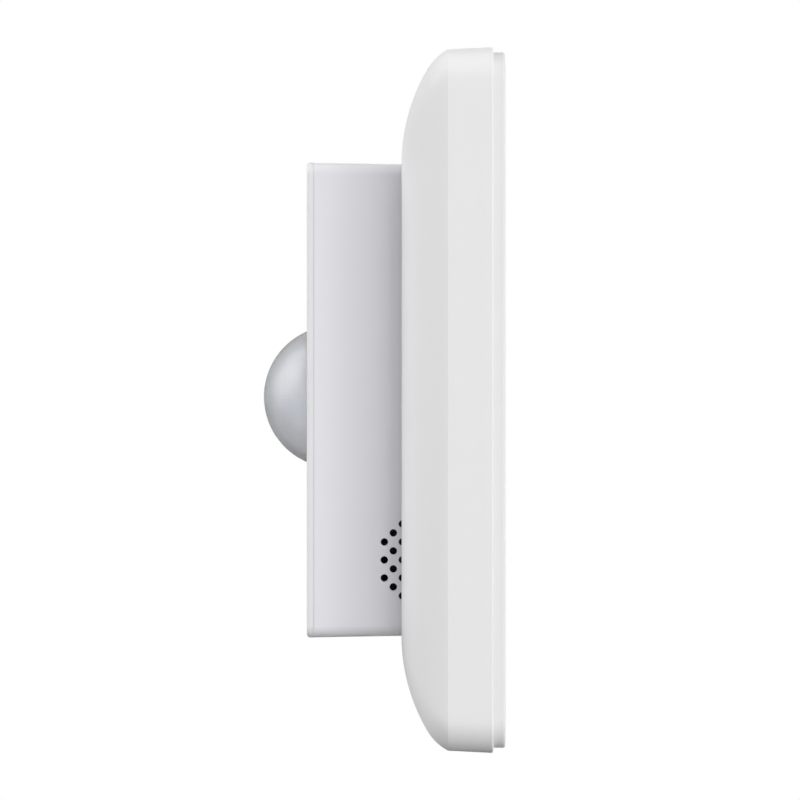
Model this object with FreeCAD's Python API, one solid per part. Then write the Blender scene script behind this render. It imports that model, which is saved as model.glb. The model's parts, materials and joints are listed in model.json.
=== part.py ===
import FreeCAD, Part
import math
import os

# Wall-mounted video doorbell: a square head with a movement-sensor dome, a camera and a call
# button, set in a pillow-fronted frame on a thin wall plate. Millimetres. The origin is the
# centre of the wall face, +Z is up and the front faces -Y. Heights are measured off the wall.

# Overall sizes
FRAME_SIZE = 81.0            # across the frame's back edge
FRAME_HEIGHT = 11.92         # frame's front plane off the wall
INSERT_SIZE = 55.0           # across the head's front
HEAD_HEIGHT = 22.86          # fascia's front off the wall
DOME_PROUD = 5.34            # tip of the sensor dome in front of the fascia

# Wall plate
PLATE_SETBACK = 0.6          # plate edge inside the frame's back edge
PLATE_THICK = 1.36
PLATE_CORNER = 3.1
PLATE_BACK_ROUND = 0.3
RECESS_SIZE = 20.0           # shallow square recesses in the plate's back, near its corners
RECESS_DEEP = 0.5
RECESS_RIM = 3.0
SCREW_SPACING = 60.0         # flush-box screws, left to right and top to bottom
WALL_SCREW_SLOT_WIDTH = 4.2
WALL_SCREW_SLOT_LENGTH = 6.4
WALL_SCREW_HEAD_RADIUS = 3.25
WALL_SCREW_HEAD_HEIGHT = 2.2
CABLE_WIDTH = 18.0
CABLE_TALL = 12.0
CABLE_LOW_EDGE = 2.5         # lower edge of the cable opening above the centre
LUG_WIDTH = 8.0
LUG_THICK = 1.2
LUG_TALL = 3.0
LUG_OFFSET = 22.0
LUG_GAP = 0.15
TONGUE_X = 17.0
TONGUE_Z = 8.0
TONGUE_THICK = 1.6
TONGUE_WIDE = 6.0
TONGUE_TALL = 5.6
TONGUE_SLOT_GAP = 0.3

# Design frame
FRAME_WALL = 1.7
FRAME_CORNER = 3.6
FRAME_SIDE_DRAFT = 0.25      # the side wall leans in by this much up to the crease
CREASE_DROP = 5.34           # crease behind the frame's front plane
CROWN_RADIUS = 20.6          # large arc next to the opening
SHOULDER_RADIUS = 5.9        # small arc next to the crease
CROWN_ANGLE = math.radians(31.3)
CROWN_STEPS = 7              # flat facets that stand for each arc
SHOULDER_STEPS = 6
OPENING_GAP = 0.2            # frame to head front, each side
OPENING_CORNER = 1.6
SKIRT_THICK = 1.5
SKIRT_LOW = 5.0              # skirt's lower edge off the wall

# Head housing
HEAD_CORNER = 1.25
HEAD_DRAFT = math.radians(1.0)
HEAD_WALL = 1.6
HEAD_FLOOR = 1.4
INNER_CORNER = 0.6
HEAD_GAP = 0.34              # head's back to the wall plate
BASE_CORNER = 2.0
BASE_GAP = 1.15              # head's stepped base to the wall screws' heads
BASE_LEDGE = 1.3             # least step between base and side wall
POCKET_WIDTH = 23.4
POCKET_LOW = -16.0
POCKET_TOP = 17.0
POCKET_WALL = 1.0
POCKET_BOARD_GAP = 0.4
BOSS_RADIUS = 2.6
BOSS_X = 16.5
BOSS_INSET = 3.1             # boss axis inside the base's edge
BOSS_ABOVE_BOARD = 0.5
POST_RADIUS = 2.4
HOUSING_SCREW_RADIUS = 1.0
HOUSING_SCREW_HEAD_RADIUS = 1.9
HOUSING_SCREW_HEAD = 1.4
HOUSING_SCREW_SEAT = 2.2     # screw head's seat above the head's back
HOUSING_SCREW_BITE = 6.6
SCREW_HEAD_GAP = 0.2

# Front fascia and seal
FASCIA_EDGE = 0.8
FASCIA_ROUND = 0.4
FASCIA_PLUG = 0.8
PLUG_GAP = 0.3
SEAM = 0.03                  # hairline between the fascia and the housing
SEAL_SIZE = 0.8
SEAL_GAP = 0.07

# Movement sensor
DOME_RADIUS = 8.43
DOME_Z = 0.39
DOME_WALL = 0.7
DOME_GAP = 0.08
FLANGE_WIDTH = 1.6
FLANGE_THICK = 0.8
RETAINER_THICK = 1.1
EAR_REACH = 2.2
EAR_WIDTH = 4.6
CAN_RADIUS = 4.1
CAN_WALL = 0.25
CAN_TOP_HEIGHT = 3.6
CAN_RIM = 0.5
CAN_BASE = 0.4
SENSOR_WINDOW_WIDTH = 4.0
SENSOR_WINDOW_TALL = 3.0
LEAD_RADIUS = 0.22
LEAD_CIRCLE = 2.54
LEAD_TAIL = 0.8

# Boards
BOARD_EDGE_GAP = 1.9
BOARD_CORNER = 1.0
BOARD_NOTCH_GAP = 0.4
FRONT_BOARD_THICK = 1.0
FRONT_BOARD_DEPTH = 4.66     # board behind the fascia's inner face
MAIN_BOARD_THICK = 1.6
MAIN_BOARD_LIFT = 6.7        # board's back above the head's floor
SMALL_SCREW_RADIUS = 0.8
SMALL_SCREW_HEAD_RADIUS = 1.5
SMALL_SCREW_HEAD = 1.0
SMALL_SCREW_BITE = 3.0
SCREW_HOLE_GAP = 0.1
SMALL_POST_RADIUS = 1.8
FRONT_SCREW_INSET = 2.4      # front board's screws inside its edge
FRONT_SCREW_Z = 8.0
MAIN_SCREW_INSET = 4.6       # main board's side screws inside the base's edge
MAIN_SCREW_SIDE_Z = 14.0
MAIN_SCREW_RIGHT_Z = 9.0
MAIN_SCREW_LOW_X = 10.5
MAIN_SCREW_LOW_Z = -20.0
SLOT_WIDTH = 0.5
SLOT_DEEP = 0.45

# Camera
WINDOW_RADIUS = 6.45
WINDOW_GAP = 0.05
WINDOW_LEDGE = 0.6
CAMERA_CLEAR = 0.88
HOLDER_SIZE = 8.4
HOLDER_TALL = 2.8
HOLDER_CHAMBER = 7.0
CHAMBER_TALL = 1.3
BARREL_RADIUS = 3.0
BARREL_LIFT = 1.4
BARREL_LONG = 3.4
BARREL_FIT = 0.05
FRONT_LENS_RADIUS = 2.2
FRONT_LENS_CURVE = 3.2
FRONT_LENS_THICK = 1.3
FRONT_LENS_RECESS = 0.2
REAR_LENS_RADIUS = 1.6
REAR_LENS_THICK = 0.8
REAR_LENS_LIFT = 0.3
BARREL_SHOULDER = 1.6
SENSOR_CHIP_WIDTH = 5.2
SENSOR_CHIP_TALL = 4.4
SENSOR_CHIP_THICK = 0.9
LAMP_SIZE = 1.6
LAMP_THICK = 0.8
LAMP_GAP = 0.2
BAFFLE_GAP = 0.3
BAFFLE_WALL = 0.8

# Call button
BUTTON_RADIUS = 5.0
BUTTON_TRAVEL = 0.5
BUTTON_FIT = 0.1
BUTTON_CAP = 2.26
BUTTON_FLANGE_WIDTH = 0.8
BUTTON_FLANGE_THICK = 0.7
BUTTON_STOP_GAP = 0.1
BUTTON_ROUND = 0.3
RING_WIDTH = 1.3
RING_FLANGE_WIDTH = 0.6
RING_FLANGE_GAP = 0.3
RING_CLEAR = 0.3
RING_TAIL = 0.9              # ring's back above the front board
STEM_RADIUS = 1.4
STEM_FIT = 0.1
STEM_LONG = 1.2
SWITCH_SIZE = 6.0
SWITCH_TALL = 1.6
SWITCH_BASE = 0.5
RING_LAMP_SIZE = 0.9
RING_LAMP_THICK = 0.7

# Status lamp and microphone
SIDE_X = 19.0
PIPE_RADIUS = 0.9
PIPE_FLANGE = 0.6
PIPE_FIT = 0.05
STATUS_LAMP_THICK = 0.6
STATUS_LAMP_WIDTH = 1.6
STATUS_LAMP_TALL = 0.8
PIPE_LAMP_GAP = 0.4
MIC_WIDTH = 3.5
MIC_TALL = 2.65
MIC_THICK = 1.0
MIC_HOLE_RADIUS = 0.5
BOOT_RADIUS = 2.0
BOOT_BORE = 0.6

# Speaker and sound holes
SOUND_HEIGHT = 9.73          # centre of the hole cluster off the wall
SOUND_Z = -18.5
SOUND_PITCH = 1.04
SOUND_HOLE_RADIUS = 0.43
SOUND_CLUSTER_RADIUS = 4.66
MESH_THICK = 0.2
GASKET_THICK = 0.8
GASKET_RIM = 0.9
SPEAKER_TALL = 13.2
SPEAKER_WIDE = 7.8
SPEAKER_DEEP = 3.4
SPEAKER_RIM = 0.8
SPEAKER_BACK = 0.6
SPEAKER_LIFT = 0.2
CONE_THICK = 0.3
CONE_LIFT = 0.6
MAGNET_TALL = 8.0
MAGNET_WIDE = 4.4
MAGNET_DEEP = 1.6
SPEAKER_BOARD_GAP = 0.6

# Terminal block and supply contacts
BLOCK_WIDTH = 14.0
BLOCK_TALL = 10.0
BLOCK_Z = -9.0
BLOCK_LIFT = 5.04
CLAMP_SIZE = 4.2
CLAMP_FIT = 0.1
CLAMP_X = 3.5
CLAMP_Z = -6.9
CLAMP_LOW = 0.94
CLAMP_HIGH = 4.04
WIRE_HEIGHT = 1.95
WIRE_RADIUS = 0.9
TERMINAL_SCREW_RADIUS = 0.9
TERMINAL_SCREW_HEAD_RADIUS = 1.7
TERMINAL_SCREW_HEAD = 0.8
TERMINAL_SCREW_BITE = 1.0
PIN_RADIUS = 0.5
PIN_FIT = 0.1
PIN_X = 2.54
PIN_Z = -11.8
PIN_LOW = 0.84
PIN_LONG = 7.1
SOCKET_WIDTH = 9.0
SOCKET_TALL = 3.4
SOCKET_DEEP = 2.9
SOCKET_BACK = 0.3
SOCKET_GAP = 0.2

# Retaining clips on the tongues
CLIP_THICK = 0.3
CLIP_GAP = 0.12
CLIP_TALL = 2.5
CLIP_FOOT = 0.6

# Pairing button
PAIR_X = 19.0
PAIR_Z = 17.0
PAIR_RADIUS = 1.5
PAIR_FIT = 0.1
PAIR_RECESS = 0.2
PAIR_FLANGE = 0.8
PAIR_FLANGE_LIFT = 0.3
PAIR_FLANGE_THICK = 0.6
PAIR_TRAVEL = 0.4
PAIR_STEM_RADIUS = 1.0
PAIR_STEM_LONG = 1.2
PAIR_SWITCH_SIZE = 4.5
PAIR_SWITCH_TALL = 1.5
PAIR_SWITCH_BASE = 0.4

# Parts on the main board's front: width, tall, thick, x, z
PROCESSOR = (12.0, 12.0, 1.1, -6.5, 5.5)
MEMORY = (9.0, 7.0, 0.9, -6.5, -6.5)
RADIO_CHIP = (6.0, 6.0, 0.8, 9.0, 14.0)
RADIO_SHIELD = (14.0, 11.0, 2.0, 9.0, 14.0)
SHIELD_WALL = 0.25
POWER_CHIP = (5.0, 4.0, 1.5, 13.5, -9.5)
COIL = (7.0, 7.0, 3.0, 10.5, 1.5)
COIL_CORNER = 1.6
COIL_WELL_RADIUS = 2.4
COIL_WELL_DEEP = 0.5
CAPACITOR_RADIUS = 2.8
CAPACITOR_TALL = 3.7
CAPACITOR_GROOVE = 0.25
CAPACITOR_PLACES = ((3.5, -17.0), (-4.0, -17.0))
ANTENNA_WIDTH = 16.0
ANTENNA_THICK = 0.3
ANTENNA_TALL = 2.0
ANTENNA_LIFT = 1.2
ANTENNA_FOOT = 1.5
ANTENNA_X = -4.0
ANTENNA_EDGE_GAP = 1.6

# Ribbon cable between the boards
RIBBON_WIDE = 8.0
RIBBON_THICK = 0.2
RIBBON_LEG = 3.0
RIBBON_BEND_X = -19.0
RIBBON_GRIP = 1.0
RIBBON_SOCKET_WIDE = 4.0
RIBBON_SOCKET_TALL = 9.6
RIBBON_SOCKET_THICK = 1.0

# Heights and half-sizes that follow from the sizes above
PLATE_HALF = FRAME_SIZE / 2 - PLATE_SETBACK
CREASE_HALF = FRAME_SIZE / 2 - FRAME_SIDE_DRAFT
CREASE_HEIGHT = FRAME_HEIGHT - CREASE_DROP
OPENING_HALF = INSERT_SIZE / 2 + OPENING_GAP
HEAD_BACK = PLATE_THICK + HEAD_GAP
FLOOR_TOP = HEAD_BACK + HEAD_FLOOR
STEP_HEIGHT = PLATE_THICK + WALL_SCREW_HEAD_HEIGHT + HEAD_GAP
STEP_TOP = STEP_HEIGHT + HEAD_FLOOR
EDGE_BACK = HEAD_HEIGHT - FASCIA_EDGE
HOUSING_FRONT = EDGE_BACK - SEAM
FASCIA_INNER = EDGE_BACK - FASCIA_PLUG
FRONT_BOARD_FACE = FASCIA_INNER - FRONT_BOARD_DEPTH
FRONT_BOARD_BACK = FRONT_BOARD_FACE - FRONT_BOARD_THICK
MAIN_BOARD_BACK = FLOOR_TOP + MAIN_BOARD_LIFT
MAIN_BOARD_FACE = MAIN_BOARD_BACK + MAIN_BOARD_THICK
POCKET_CEILING = MAIN_BOARD_BACK - POCKET_BOARD_GAP
BOSS_TOP = MAIN_BOARD_FACE + BOSS_ABOVE_BOARD
DOME_CENTRE = HEAD_HEIGHT + DOME_PROUD - DOME_RADIUS
FLANGE_RADIUS = DOME_RADIUS + FLANGE_WIDTH
FLANGE_BACK = FASCIA_INNER - FLANGE_THICK
RETAINER_BACK = FLANGE_BACK - RETAINER_THICK
DOME_MOUTH = math.sqrt((DOME_RADIUS - DOME_WALL) ** 2 - (FLANGE_BACK - DOME_CENTRE) ** 2)
EAR_X = FLANGE_RADIUS + EAR_REACH
CAMERA_Z = DOME_Z + FLANGE_RADIUS + CAMERA_CLEAR + WINDOW_RADIUS
RING_FLANGE_RADIUS = BUTTON_RADIUS + BUTTON_FIT + RING_WIDTH + RING_FLANGE_WIDTH
BUTTON_Z = DOME_Z - FLANGE_RADIUS - RING_CLEAR - RING_FLANGE_RADIUS


def head_half(height):
    """Half-width of the head's outside at a height off the wall."""
    return INSERT_SIZE / 2 - (HEAD_HEIGHT - height) * math.tan(HEAD_DRAFT)


BASE_HALF = min(SCREW_SPACING / 2 - WALL_SCREW_HEAD_RADIUS - BASE_GAP, head_half(STEP_HEIGHT) - BASE_LEDGE)
BOSS_Z = BASE_HALF - BOSS_INSET
MAIN_BOARD_HALF = head_half(MAIN_BOARD_BACK) - HEAD_WALL - BOARD_EDGE_GAP
FRONT_BOARD_HALF = head_half(FRONT_BOARD_BACK) - HEAD_WALL - BOARD_EDGE_GAP
SOUND_WALL_X = head_half(STEP_TOP + SPEAKER_LIFT) - HEAD_WALL
SPEAKER_FACE_X = SOUND_WALL_X - MESH_THICK - GASKET_THICK
SPEAKER_BACK_X = SPEAKER_FACE_X - SPEAKER_DEEP
SPEAKER_CENTRE = STEP_TOP + SPEAKER_LIFT + SPEAKER_WIDE / 2
BOSS_PLACES = [(sx * BOSS_X, sz * BOSS_Z) for sx in (-1, 1) for sz in (-1, 1)]
FRONT_SCREW_X = FRONT_BOARD_HALF - FRONT_SCREW_INSET
FRONT_SCREW_PLACES = [(sx * FRONT_SCREW_X, sz * FRONT_SCREW_Z) for sx in (-1, 1) for sz in (-1, 1)]
MAIN_SCREW_X = BASE_HALF - MAIN_SCREW_INSET
MAIN_SCREW_PLACES = (
    (-MAIN_SCREW_X, MAIN_SCREW_SIDE_Z),
    (-MAIN_SCREW_X, -MAIN_SCREW_SIDE_Z),
    (MAIN_SCREW_X, MAIN_SCREW_RIGHT_Z),
    (MAIN_SCREW_LOW_X, MAIN_SCREW_LOW_Z),
)
TONGUE_PLACES = [(sx * TONGUE_X, sz * TONGUE_Z) for sx in (-1, 1) for sz in (-1, 1)]

FORWARD = FreeCAD.Vector(0, -1, 0)


def place(x, z, height):
    """Point at a height off the wall."""
    return FreeCAD.Vector(x, -height, z)


def disc(radius, low, high, x=0.0, z=0.0):
    """Round bar standing off the wall between two heights."""
    return Part.makeCylinder(radius, high - low, place(x, z, low), FORWARD)


def tube(outer, inner, low, high, x=0.0, z=0.0):
    """Round tube standing off the wall between two heights."""
    return disc(outer, low, high, x, z).cut(disc(inner, low, high, x, z))


def block(width, tall, low, high, x=0.0, z=0.0):
    """Square-edged block between two heights, centred on x and z."""
    return Part.makeBox(width, high - low, tall, FreeCAD.Vector(x - width / 2, -high, z - tall / 2))


def sphere(radius, height, x=0.0, z=0.0):
    """Ball centred at a height off the wall."""
    return Part.makeSphere(radius, place(x, z, height))


def outline(half_x, half_z, radius, height, x=0.0, z=0.0):
    """Closed rounded rectangle parallel to the wall."""
    corners = []
    for side_x, side_z, turn in ((1, 1, 0), (-1, 1, 90), (-1, -1, 180), (1, -1, 270)):
        centre_x = x + side_x * (half_x - radius)
        centre_z = z + side_z * (half_z - radius)
        bend = []
        for angle in (turn, turn + 45, turn + 90):
            reach_x = radius * math.cos(math.radians(angle))
            reach_z = radius * math.sin(math.radians(angle))
            bend.append(place(centre_x + reach_x, centre_z + reach_z, height))
        corners.append(bend)
    edges = []
    for index, (start, middle, end) in enumerate(corners):
        edges.append(Part.Arc(start, middle, end).toShape())
        edges.append(Part.LineSegment(end, corners[(index + 1) % 4][0]).toShape())
    return Part.Wire(edges)


def slab(half_x, half_z, radius, low, high, x=0.0, z=0.0):
    """Block with rounded corners between two heights."""
    face = Part.Face(outline(half_x, half_z, radius, low, x, z))
    return face.extrude(FORWARD * (high - low))


def slot(length, width, low, high, x, z, along_x):
    """Round-ended slot cutter between two heights."""
    offset = (length - width) / 2
    step_x, step_z = (offset, 0.0) if along_x else (0.0, offset)
    size_x, size_z = (2 * offset, width) if along_x else (width, 2 * offset)
    cutter = block(size_x, size_z, low, high, x, z)
    for side in (-1, 1):
        cutter = cutter.fuse(disc(width / 2, low, high, x + side * step_x, z + side * step_z))
    return cutter


def screw(x, z, seat, head, bite, head_radius, shank_radius):
    """Slotted screw: a positive head lies in front of its seat and the shank points to the wall."""
    tip = seat - math.copysign(bite, head)
    crown = seat + head
    slot_floor = crown - math.copysign(SLOT_DEEP, head)
    body = disc(head_radius, min(seat, crown), max(seat, crown), x, z)
    body = body.fuse(disc(shank_radius, min(seat, tip), max(seat, tip), x, z))
    groove = block(3 * head_radius, SLOT_WIDTH, min(crown, slot_floor), max(crown, slot_floor), x, z)
    return body.cut(groove)


def join(shapes):
    """Fuse a list of touching shapes into one clean solid."""
    return shapes[0].fuse(shapes[1:]).removeSplitter()


def group(shapes):
    """Separate identical solids kept together as one node."""
    return Part.makeCompound(shapes)


def round_edges(shape, radius, height, least_length=0.0):
    """Round the edges that lie at one height off the wall."""
    chosen = []
    for edge in shape.Edges:
        box = edge.BoundBox
        if abs(box.YMin + height) < 1e-4 and abs(box.YMax + height) < 1e-4 and edge.Length > least_length:
            chosen.append(edge)
    return shape.makeFillet(radius, chosen)


def crown_point(angle):
    """Half-width and drop of the frame's front where its slope is at this angle."""
    blend = CROWN_RADIUS - SHOULDER_RADIUS
    if angle <= CROWN_ANGLE:
        return CROWN_RADIUS * math.sin(angle), CROWN_RADIUS * (1 - math.cos(angle))
    reach = blend * math.sin(CROWN_ANGLE) + SHOULDER_RADIUS * math.sin(angle)
    drop = CROWN_RADIUS - blend * math.cos(CROWN_ANGLE) - SHOULDER_RADIUS * math.cos(angle)
    return reach, drop


def frame_shell(inset):
    """Solid inside the frame's outer surface, drawn in by an inset."""
    blend = CROWN_RADIUS - SHOULDER_RADIUS
    slope = (CROWN_RADIUS - blend * math.cos(CROWN_ANGLE) - CREASE_DROP) / SHOULDER_RADIUS
    crease_angle = math.acos(slope)
    flat_half = CREASE_HALF - crown_point(crease_angle)[0]
    angles = [CROWN_ANGLE * step / CROWN_STEPS for step in range(CROWN_STEPS)]
    spread = crease_angle - CROWN_ANGLE
    angles += [CROWN_ANGLE + spread * step / SHOULDER_STEPS for step in range(SHOULDER_STEPS + 1)]
    corner = FRAME_CORNER - inset
    sections = []
    for angle in reversed(angles):
        reach, drop = crown_point(angle)
        half = flat_half + reach - inset
        sections.append(outline(half, half, corner, FRAME_HEIGHT - drop - inset))
    front = Part.makeLoft(sections, True, True)
    back_half = FRAME_SIZE / 2 - inset
    crease_half = CREASE_HALF - inset
    side_sections = [
        outline(back_half, back_half, corner, PLATE_THICK),
        outline(crease_half, crease_half, corner, CREASE_HEIGHT - inset),
    ]
    side = Part.makeLoft(side_sections, True, True)
    return side.fuse(front)


def wall_plate():
    """Thin plate with screw slots, a cable opening, frame lugs and tongues for the head."""
    plate = slab(PLATE_HALF, PLATE_HALF, PLATE_CORNER, 0, PLATE_THICK)
    plate = round_edges(plate, PLATE_BACK_ROUND, 0)
    for side in (-1, 1):
        centre = side * SCREW_SPACING / 2
        for x, z, along_x in ((centre, 0, True), (0, centre, False)):
            cutter = slot(
                WALL_SCREW_SLOT_LENGTH, WALL_SCREW_SLOT_WIDTH, -1, PLATE_THICK + 1, x, z, along_x
            )
            plate = plate.cut(cutter)
    cable_z = CABLE_LOW_EDGE + CABLE_TALL / 2
    plate = plate.cut(slab(CABLE_WIDTH / 2, CABLE_TALL / 2, BASE_CORNER, -1, PLATE_THICK + 1, 0, cable_z))
    recess_half = RECESS_SIZE / 2
    recess_centre = PLATE_HALF - RECESS_RIM - recess_half
    for x in (-recess_centre, recess_centre):
        for z in (-recess_centre, recess_centre):
            plate = plate.cut(slab(recess_half, recess_half, BASE_CORNER, -1, RECESS_DEEP, x, z))
    standing = [plate]
    top = PLATE_THICK + TONGUE_TALL
    for x, z in TONGUE_PLACES:
        standing.append(block(TONGUE_THICK, TONGUE_WIDE, PLATE_THICK, top, x, z))
    lug_centre = CREASE_HALF - FRAME_WALL - LUG_GAP - LUG_THICK / 2
    lug_top = PLATE_THICK + LUG_TALL
    for side in (-1, 1):
        for offset in (-LUG_OFFSET, LUG_OFFSET):
            standing.append(block(LUG_THICK, LUG_WIDTH, PLATE_THICK, lug_top, side * lug_centre, offset))
            standing.append(block(LUG_WIDTH, LUG_THICK, PLATE_THICK, lug_top, offset, side * lug_centre))
    return join(standing)


def design_frame():
    """Square frame with a pillow-shaped front, hollow behind, with a skirt round the opening."""
    skirt_half = OPENING_HALF + SKIRT_THICK
    skirt_corner = OPENING_CORNER + SKIRT_THICK
    skirt = slab(skirt_half, skirt_half, skirt_corner, SKIRT_LOW, FRAME_HEIGHT + 1)
    hollow = frame_shell(FRAME_WALL).cut(skirt)
    opening = slab(OPENING_HALF, OPENING_HALF, OPENING_CORNER, PLATE_THICK - 1, FRAME_HEIGHT + 1)
    return frame_shell(0).cut(hollow).cut(opening)


def terminal_chamber(side):
    """Space for one wire clamp in the terminal block."""
    size = CLAMP_SIZE + CLAMP_FIT
    return block(size, size, PLATE_THICK + CLAMP_LOW, PLATE_THICK + BLOCK_LIFT + 1, side * CLAMP_X, CLAMP_Z)


def terminal_block():
    """Insulating block with two wire chambers and seats for the two supply pins."""
    body = block(BLOCK_WIDTH, BLOCK_TALL, PLATE_THICK, PLATE_THICK + BLOCK_LIFT, 0, BLOCK_Z)
    block_top = BLOCK_Z + BLOCK_TALL / 2
    for side in (-1, 1):
        body = body.cut(terminal_chamber(side))
        entry = place(side * CLAMP_X, CLAMP_Z, PLATE_THICK + WIRE_HEIGHT)
        wire_hole = Part.makeCylinder(WIRE_RADIUS, block_top - CLAMP_Z + 1, entry, FreeCAD.Vector(0, 0, 1))
        body = body.cut(wire_hole)
        pin_hole = disc(PIN_RADIUS, PLATE_THICK + PIN_LOW, PLATE_THICK + BLOCK_LIFT + 1, side * PIN_X, PIN_Z)
        body = body.cut(pin_hole)
    return body


def terminal_clamps():
    """Two brass cages, each with a wire passage and a threaded hole."""
    cages = []
    for side in (-1, 1):
        x = side * CLAMP_X
        cage = block(CLAMP_SIZE, CLAMP_SIZE, PLATE_THICK + CLAMP_LOW, PLATE_THICK + CLAMP_HIGH, x, CLAMP_Z)
        start = place(x, CLAMP_Z - CLAMP_SIZE, PLATE_THICK + WIRE_HEIGHT)
        cage = cage.cut(Part.makeCylinder(WIRE_RADIUS, 2 * CLAMP_SIZE, start, FreeCAD.Vector(0, 0, 1)))
        cage_top = PLATE_THICK + CLAMP_HIGH
        thread = disc(TERMINAL_SCREW_RADIUS, PLATE_THICK + WIRE_HEIGHT, cage_top + 1, x, CLAMP_Z)
        cages.append(cage.cut(thread))
    return group(cages)


def terminal_screws():
    """Two slotted screws that clamp the wires."""
    seat = PLATE_THICK + CLAMP_HIGH
    screws = []
    for side in (-1, 1):
        screws.append(
            screw(
                side * CLAMP_X, CLAMP_Z, seat, TERMINAL_SCREW_HEAD, TERMINAL_SCREW_BITE,
                TERMINAL_SCREW_HEAD_RADIUS, TERMINAL_SCREW_RADIUS,
            )
        )
    return group(screws)


def supply_pins():
    """Two contact pins that stand out of the terminal block into the head's socket."""
    low = PLATE_THICK + PIN_LOW
    return group([disc(PIN_RADIUS, low, low + PIN_LONG, side * PIN_X, PIN_Z) for side in (-1, 1)])


def sound_holes(side):
    """Cutters for one cluster of sound holes: a square lattice turned by 45 degrees."""
    reach = int(SOUND_CLUSTER_RADIUS / SOUND_PITCH)
    inside = side * (SOUND_WALL_X - 1)
    holes = []
    for column in range(-reach, reach + 1):
        for row in range(-reach, reach + 1):
            far = SOUND_PITCH * math.hypot(column, row)
            if (column + row) % 2 or far > SOUND_CLUSTER_RADIUS:
                continue
            start = place(inside, SOUND_Z + row * SOUND_PITCH, SOUND_HEIGHT + column * SOUND_PITCH)
            axis = FreeCAD.Vector(side, 0, 0)
            holes.append(Part.makeCylinder(SOUND_HOLE_RADIUS, HEAD_WALL + 2, start, axis))
    return group(holes)


def pocket(inset, low, high):
    """Pocket for the terminal block and the wires, drawn in by an inset."""
    tall = POCKET_TOP - POCKET_LOW
    centre = (POCKET_TOP + POCKET_LOW) / 2
    return slab(POCKET_WIDTH / 2 - inset, tall / 2 - inset, BASE_CORNER, low, high, 0, centre)


def head_housing():
    """Drafted tray that opens to the front, with a stepped base, screw bosses and a wire pocket."""
    base = slab(BASE_HALF, BASE_HALF, BASE_CORNER, HEAD_BACK, STEP_TOP)
    walls = Part.makeLoft(
        [
            outline(head_half(STEP_HEIGHT), head_half(STEP_HEIGHT), HEAD_CORNER, STEP_HEIGHT),
            outline(head_half(HOUSING_FRONT), head_half(HOUSING_FRONT), HEAD_CORNER, HOUSING_FRONT),
        ],
        True,
        True,
    )
    base_inner = BASE_HALF - HEAD_WALL
    step_inner = head_half(STEP_TOP) - HEAD_WALL
    front_inner = head_half(HOUSING_FRONT) - HEAD_WALL
    cavity = Part.makeLoft(
        [
            outline(step_inner, step_inner, INNER_CORNER, STEP_TOP),
            outline(front_inner, front_inner, INNER_CORNER, HOUSING_FRONT),
        ],
        True,
        True,
    )
    lower_cavity = slab(base_inner, base_inner, INNER_CORNER, FLOOR_TOP, STEP_TOP)
    housing = base.fuse(walls).cut(cavity).cut(lower_cavity)
    rebate_half = front_inner + SEAL_SIZE
    rebate_low = HOUSING_FRONT - SEAL_SIZE
    housing = housing.cut(slab(rebate_half, rebate_half, HEAD_CORNER, rebate_low, HOUSING_FRONT + 1))
    added = [housing, pocket(0, HEAD_BACK, POCKET_CEILING)]
    for x, z in BOSS_PLACES:
        added.append(disc(BOSS_RADIUS, HEAD_BACK, BOSS_TOP, x, z))
    for x, z in MAIN_SCREW_PLACES:
        added.append(disc(SMALL_POST_RADIUS, HEAD_BACK, MAIN_BOARD_BACK, x, z))
    housing = join(added)
    housing = housing.cut(pocket(POCKET_WALL, HEAD_BACK - 1, POCKET_CEILING - POCKET_WALL))
    window_width = SOCKET_WIDTH + 2 * SOCKET_GAP
    window_tall = SOCKET_TALL + 2 * SOCKET_GAP
    ceiling_low = POCKET_CEILING - POCKET_WALL
    housing = housing.cut(block(window_width, window_tall, ceiling_low - 1, POCKET_CEILING + 1, 0, PIN_Z))
    screw_seat = HEAD_BACK + HOUSING_SCREW_SEAT
    for x, z in BOSS_PLACES:
        recess = disc(HOUSING_SCREW_HEAD_RADIUS + SCREW_HEAD_GAP, HEAD_BACK - 1, screw_seat, x, z)
        housing = housing.cut(recess)
        housing = housing.cut(disc(HOUSING_SCREW_RADIUS + SCREW_HOLE_GAP, HEAD_BACK, BOSS_TOP + 1, x, z))
    pilot_low = MAIN_BOARD_FACE - SMALL_SCREW_BITE
    for x, z in MAIN_SCREW_PLACES:
        housing = housing.cut(disc(SMALL_SCREW_RADIUS, pilot_low, MAIN_BOARD_BACK + 1, x, z))
    slot_x = TONGUE_THICK + 2 * TONGUE_SLOT_GAP
    slot_z = TONGUE_WIDE + 2 * TONGUE_SLOT_GAP
    for x, z in TONGUE_PLACES:
        housing = housing.cut(block(slot_x, slot_z, HEAD_BACK - 1, FLOOR_TOP + 1, x, z))
    housing = housing.cut(disc(PAIR_RADIUS + PAIR_FIT, HEAD_BACK - 1, FLOOR_TOP + 1, PAIR_X, PAIR_Z))
    for side in (-1, 1):
        housing = housing.cut(sound_holes(side))
    return housing


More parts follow.
